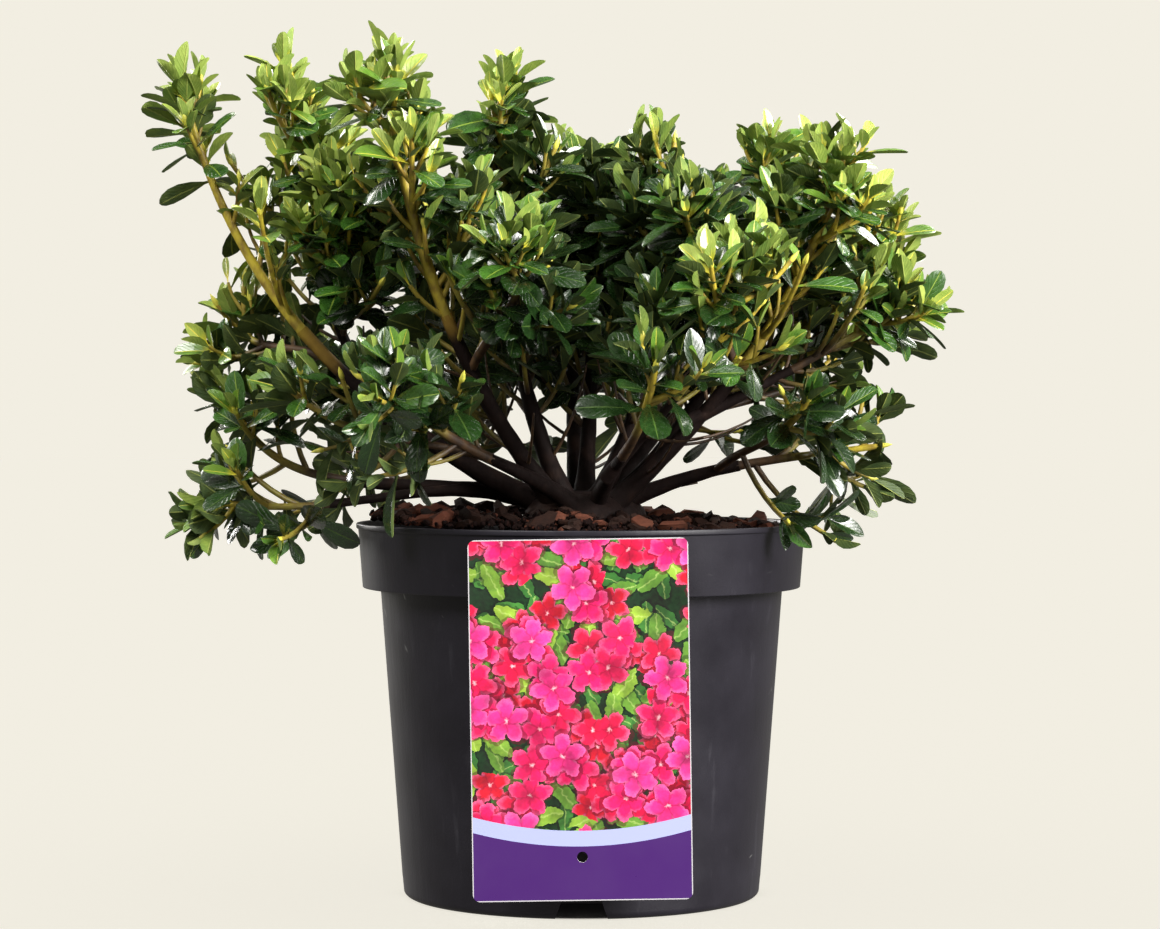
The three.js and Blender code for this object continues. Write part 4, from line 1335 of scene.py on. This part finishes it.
def stays_home(points, owners, limbs):
    """Whether all the sample points of each leaf keep to its mass's space, off the boughs and the pot."""
    count, samples, _ = points.shape
    flat = points.reshape(-1, 3)
    owner = np.repeat(owners, samples)
    gaps = np.array([distance_to(limb.stem_line, flat)[0] for limb in limbs])
    home = gaps[owner, np.arange(len(flat))]
    good = home < gaps.min(axis=0) + SPACE.mingle
    for limb in limbs:
        good &= limb.clear_of(flat) > SPACE.limb
    in_pot = (flat[:, 2] < SPACE.pot_top) & (np.hypot(flat[:, 0], flat[:, 1]) < SPACE.pot_radius)
    good &= ~in_pot & (flat[:, 2] > SPACE.lowest)
    return good.reshape(count, samples).all(axis=1)


def leaf_points(roots, ways, lengths, widths, bends, folds, rolls, shapes):
    """The points of every leaf at once: a grid of its upper side, its tip, and the rib below."""
    lengths, widths, bends, shapes = (v[:, None] for v in (lengths, widths, bends, shapes))
    half = widths / 2 * lerp(OBOVATE, ELLIPTIC, shapes)

    def arched(shares):
        """How far along and how far up a bent leaf's midrib is at some shares of its length."""
        arc = bends * shares
        return lengths * np.sin(arc) / bends, -lengths * (1 - np.cos(arc)) / bends, arc

    run, drop, arc = arched(LEAF_ROWS)
    lean = np.stack([np.sin(arc), np.cos(arc)], axis=-1)
    column = np.abs(LEAF_COLUMNS)
    rise = folds[:, None, None] * column - rolls[:, None, None] * column**2 - RIB_GROOVE * (column < 0.1)
    height = half[..., None] * rise
    x = run[..., None] + height * lean[..., 0:1]
    z = drop[..., None] + height * lean[..., 1:2]
    top = np.stack([x, half[..., None] * LEAF_COLUMNS, z], axis=-1).reshape(len(roots), -1, 3)
    thick = LEAF_THICK * lengths + RIB_DEPTH * half
    low = np.stack([run - thick * lean[..., 0], 0 * run, drop - thick * lean[..., 1]], axis=-1)
    tip_run, tip_drop, _ = arched(np.ones(1))
    tip = np.stack([tip_run, 0 * tip_run, tip_drop], axis=-1)
    local = np.concatenate([top, tip, low], axis=1)
    along, across, face = (local[..., k : k + 1] * way[:, None] for k, way in enumerate(ways))
    return roots[:, None] + along + across + face


def leaf_pattern():
    """The faces of one leaf, the kind of each (0 upper side, 1 rib, 2 underside), and its map."""
    rows, columns = len(LEAF_ROWS), len(LEAF_COLUMNS)
    tip = rows * columns
    low = tip + 1
    faces, kinds = [], []
    rib = columns // 2 - 1
    for i in range(rows):
        last = i == rows - 1
        for j in range(columns - 1):
            a, b = i * columns + j, i * columns + j + 1
            faces.append([a, tip, b, -1] if last else [a, a + columns, b + columns, b])
            kinds.append(1 if j == rib or i == 0 else 0)
        left, right = i * columns, i * columns + columns - 1
        below = low + i
        if last:
            faces += [[below, tip, left, -1], [right, tip, below, -1]]
        else:
            faces += [[below, below + 1, left + columns, left], [right, right + columns, below + 1, below]]
        kinds += [2, 2]
    faces.append([0, columns - 1, low, -1])
    kinds.append(2)
    top = [(along, across / 2 + 0.5) for along in LEAF_ROWS for across in LEAF_COLUMNS]
    maps = np.array(top + [(1, 0.5)] + [(along, 0.5) for along in LEAF_ROWS])
    return np.array(faces), np.array(kinds), maps


def leaf_finishes():
    """The ages of leaf, each with its upper side, its rib and its underside."""
    unders = {name: leaf_under(name, *tones) for name, tones in LEAF_UNDERS.items()}
    return {
        age: [leaf_top(age, *plan.top, plan.rough), leaf_rib(age, *plan.rib), unders[plan.under]]
        for age, plan in LEAF_AGES.items()
    }


def shade_and_age_names(light, ages, lucks):
    """Which of the four ages each leaf has, by its place on its shoot and the light where it springs: that
    light paints shade, so that leaves inside the crown take the darker colours.
    """
    place = LIT_AND_FRESH.middle - np.minimum(ages, LIT_AND_FRESH.last)
    lit_and_fresh = light + LIT_AND_FRESH.place * place + LIT_AND_FRESH.luck * (lucks - 0.5)
    steps = [lit_and_fresh > LIT_AND_FRESH.new, lit_and_fresh > LIT_AND_FRESH.young, lit_and_fresh > LIT_AND_FRESH.full]
    return np.select(steps, ["new", "young", "full"], "old")


def make_leaves(shoots, limbs):
    """All the leaves, in pieces by age, which also paints shade. Gives back the shoots that keep enough of
    them to stay.
    """
    random = random_from(SEEDS.leaves)
    rows = [row for number, shoot in enumerate(shoots) for row in leaves_on(number, shoot, random)]
    numbers, shares, turns, openings, lengths, slims, ages, lucks = np.array(rows).T
    numbers = numbers.astype(int)
    owners = np.array([shoot.owner for shoot in shoots])[numbers]
    roots, axis, across, face = placed(shoots, numbers, shares, turns, openings)
    widths = lengths * (LEAF.width + LEAF.vary_width * (slims * 0.5 + 0.75 * (ages - 1)))
    bends = lerp(*LEAF_FORM.bend, np.clip(ages / 2, 0, 1)) * (0.6 + 0.8 * lucks)
    formed = np.clip(ages / LEAF_FORM.formed, 0, 1)
    folds = lerp(*LEAF_FORM.fold, formed) * (0.7 + 0.6 * lucks)
    rolls = lerp(*LEAF_FORM.roll, formed)
    samples = roots[:, None] + axis[:, None] * (lengths[:, None] * SAMPLES[:, 0])[..., None]
    samples = samples + across[:, None] * (widths[:, None] * SAMPLES[:, 1])[..., None]
    hiding = in_sky(samples) | hides_stem(samples, limbs)
    keep = stays_home(samples, owners, limbs) & ~hiding.any(axis=1)
    in_tufts = np.bincount(numbers[keep & (ages < 1)], minlength=len(shoots))
    tips = np.array([shoot.line[-1] for shoot in shoots])
    stays = (in_tufts >= TUFT_LEAST) & ~in_sky(tips, OFF_SKY)
    place = {shoot: number for number, shoot in enumerate(shoots)}
    stays &= stays[[place[shoot.parent] for shoot in shoots]]
    keep &= stays[numbers]
    pattern, kinds, maps = leaf_pattern()
    shapes = np.clip(slims * 0.5 + 0.95 - 0.75 * ages, 0, 1)
    points = leaf_points(roots, (axis, across, face), lengths, widths, bends, folds, rolls, shapes)
    triangles = int((pattern >= 0).sum() - 2 * len(pattern))
    most = MOST_TRIANGLES // triangles
    # The light where each leaf springs helps pick its age: painted shade, darker leaves inside the crown
    names = shade_and_age_names(light_at(roots), ages, lucks)
    masses = ["leaves_" + limb.name for limb in limbs]
    for name, materials in leaf_finishes().items():
        mine = np.flatnonzero(keep & (names == name))
        for part, start in enumerate(range(0, len(mine), most)):
            own = points[mine[start : start + most]]
            faces = tiled(pattern, len(own), own.shape[1])
            many = {"kinds": np.tile(kinds, len(own)), "maps": np.tile(maps, (len(own), 1)), "angle": 55}
            piece = mesh_piece(f"leaves_{name}_{part + 1}", own.reshape(-1, 3), faces, materials, **many)
            finished(piece, "foliage", *masses)
    return [shoot for shoot, stay in zip(shoots, stays) if stay or shoot.kind in ("leader", "dead")]


def make_shoots(shoots):
    """The stems and twigs inside the masses."""
    tubes = [ring_points(shoot.line, shoot.radii, shoot.side, ROD.sides) for shoot in shoots]
    finished(tube_piece("shoots", shoot_skin(), 70, tubes, [shoot.youths for shoot in shoots]), "foliage")


def make_buds(shoots):
    """A pointed bud in the middle of each tuft."""
    tubes = []
    for shoot in shoots:
        if shoot.kind not in ("fine", "inner", "dead"):
            line = shoot.line[-1] + shoot.along(1) * (BUD.length * (BUD_SHARES[:, None] - BUD.sunk))
            tubes.append(ring_points(line, BUD.width / 2 * BUD_GIRTHS, shoot.side, BUD.sides))
    finished(tube_piece("buds", bud_skin(), 60, tubes), "foliage")


# Camera, light and floor

def make_camera():
    data = bpy.data.cameras.new("camera")
    data.lens = CAMERA.lens
    data.clip_start = 0.05
    camera = bpy.data.objects.new("camera", data)
    camera.location = (CAMERA.side, CAMERA.back, CAMERA.height)
    camera.rotation_euler = (radians(90 - CAMERA.down), 0, 0)
    bpy.context.scene.collection.objects.link(camera)
    bpy.context.scene.camera = camera


def only_seen(piece):
    """A piece of the studio that is seen but throws no light on the plant and no shadow."""
    for kind in ("diffuse", "glossy", "transmission", "volume_scatter", "shadow"):
        setattr(piece, "visible_" + kind, False)
    return piece


def make_studio():
    scene = bpy.context.scene
    scene.view_settings.view_transform = "Standard"
    world = bpy.data.worlds.new("pale_studio")
    scene.world = world
    world.use_nodes = True
    sky = world.node_tree.nodes["Background"]
    sky.inputs["Color"].default_value = paint(*PAPER)
    sky.inputs["Strength"].default_value = STUDIO.room
    around = {"segments": STUDIO.segments, "ring_count": STUDIO.segments // 2}
    bpy.ops.mesh.primitive_uv_sphere_add(radius=STUDIO.reach, **around)
    only_seen(settled(bpy.context.object, "backdrop", backdrop_paper()))
    bpy.ops.mesh.primitive_circle_add(vertices=64, radius=STUDIO.reach * 0.999, fill_type="NGON")
    floor = only_seen(settled(bpy.context.object, "floor", floor_paper()))
    unlit = bpy.data.collections.new("not_lit_by_lamps")
    unlit.objects.link(floor)
    unlit.collection_objects[0].light_linking.link_state = "EXCLUDE"
    for name, plan in LAMPS.items():
        data = bpy.data.lights.new(name, "AREA")
        data.shape = "DISK"
        data.size = plan.size
        data.energy = plan.watts
        data.color = plan.colour
        lamp = bpy.data.objects.new(name, data)
        lamp.location = plan.place
        way = Vector((0, 0, STUDIO.aim)) - lamp.location
        lamp.rotation_euler = way.to_track_quat("-Z", "Y").to_euler()
        lamp.light_linking.receiver_collection = unlit
        scene.collection.objects.link(lamp)


make_camera()
make_studio()
make_pot()
make_card()
all_limbs = grow_limbs()
make_soil()
chip_materials = [chip_bark(name, *plan.tones) for name, plan in CHIP_TINTS.items()]
chip_limits = [plan.up_to for plan in CHIP_TINTS.values()]
chips_of("bark_chips", CHIP, SEEDS.chips, chip_materials, chip_limits, all_limbs)
chips_of("peat_crumbs", CRUMB, SEEDS.crumbs, [peat()], [1.0], all_limbs)
make_bark(all_limbs)
all_shoots = [s for i, limb in enumerate(all_limbs) for s in shoots_of(limb, i, i + 1)]
leafy_shoots = make_leaves(all_shoots, all_limbs)
make_shoots(leafy_shoots)
make_buds(leafy_shoots)
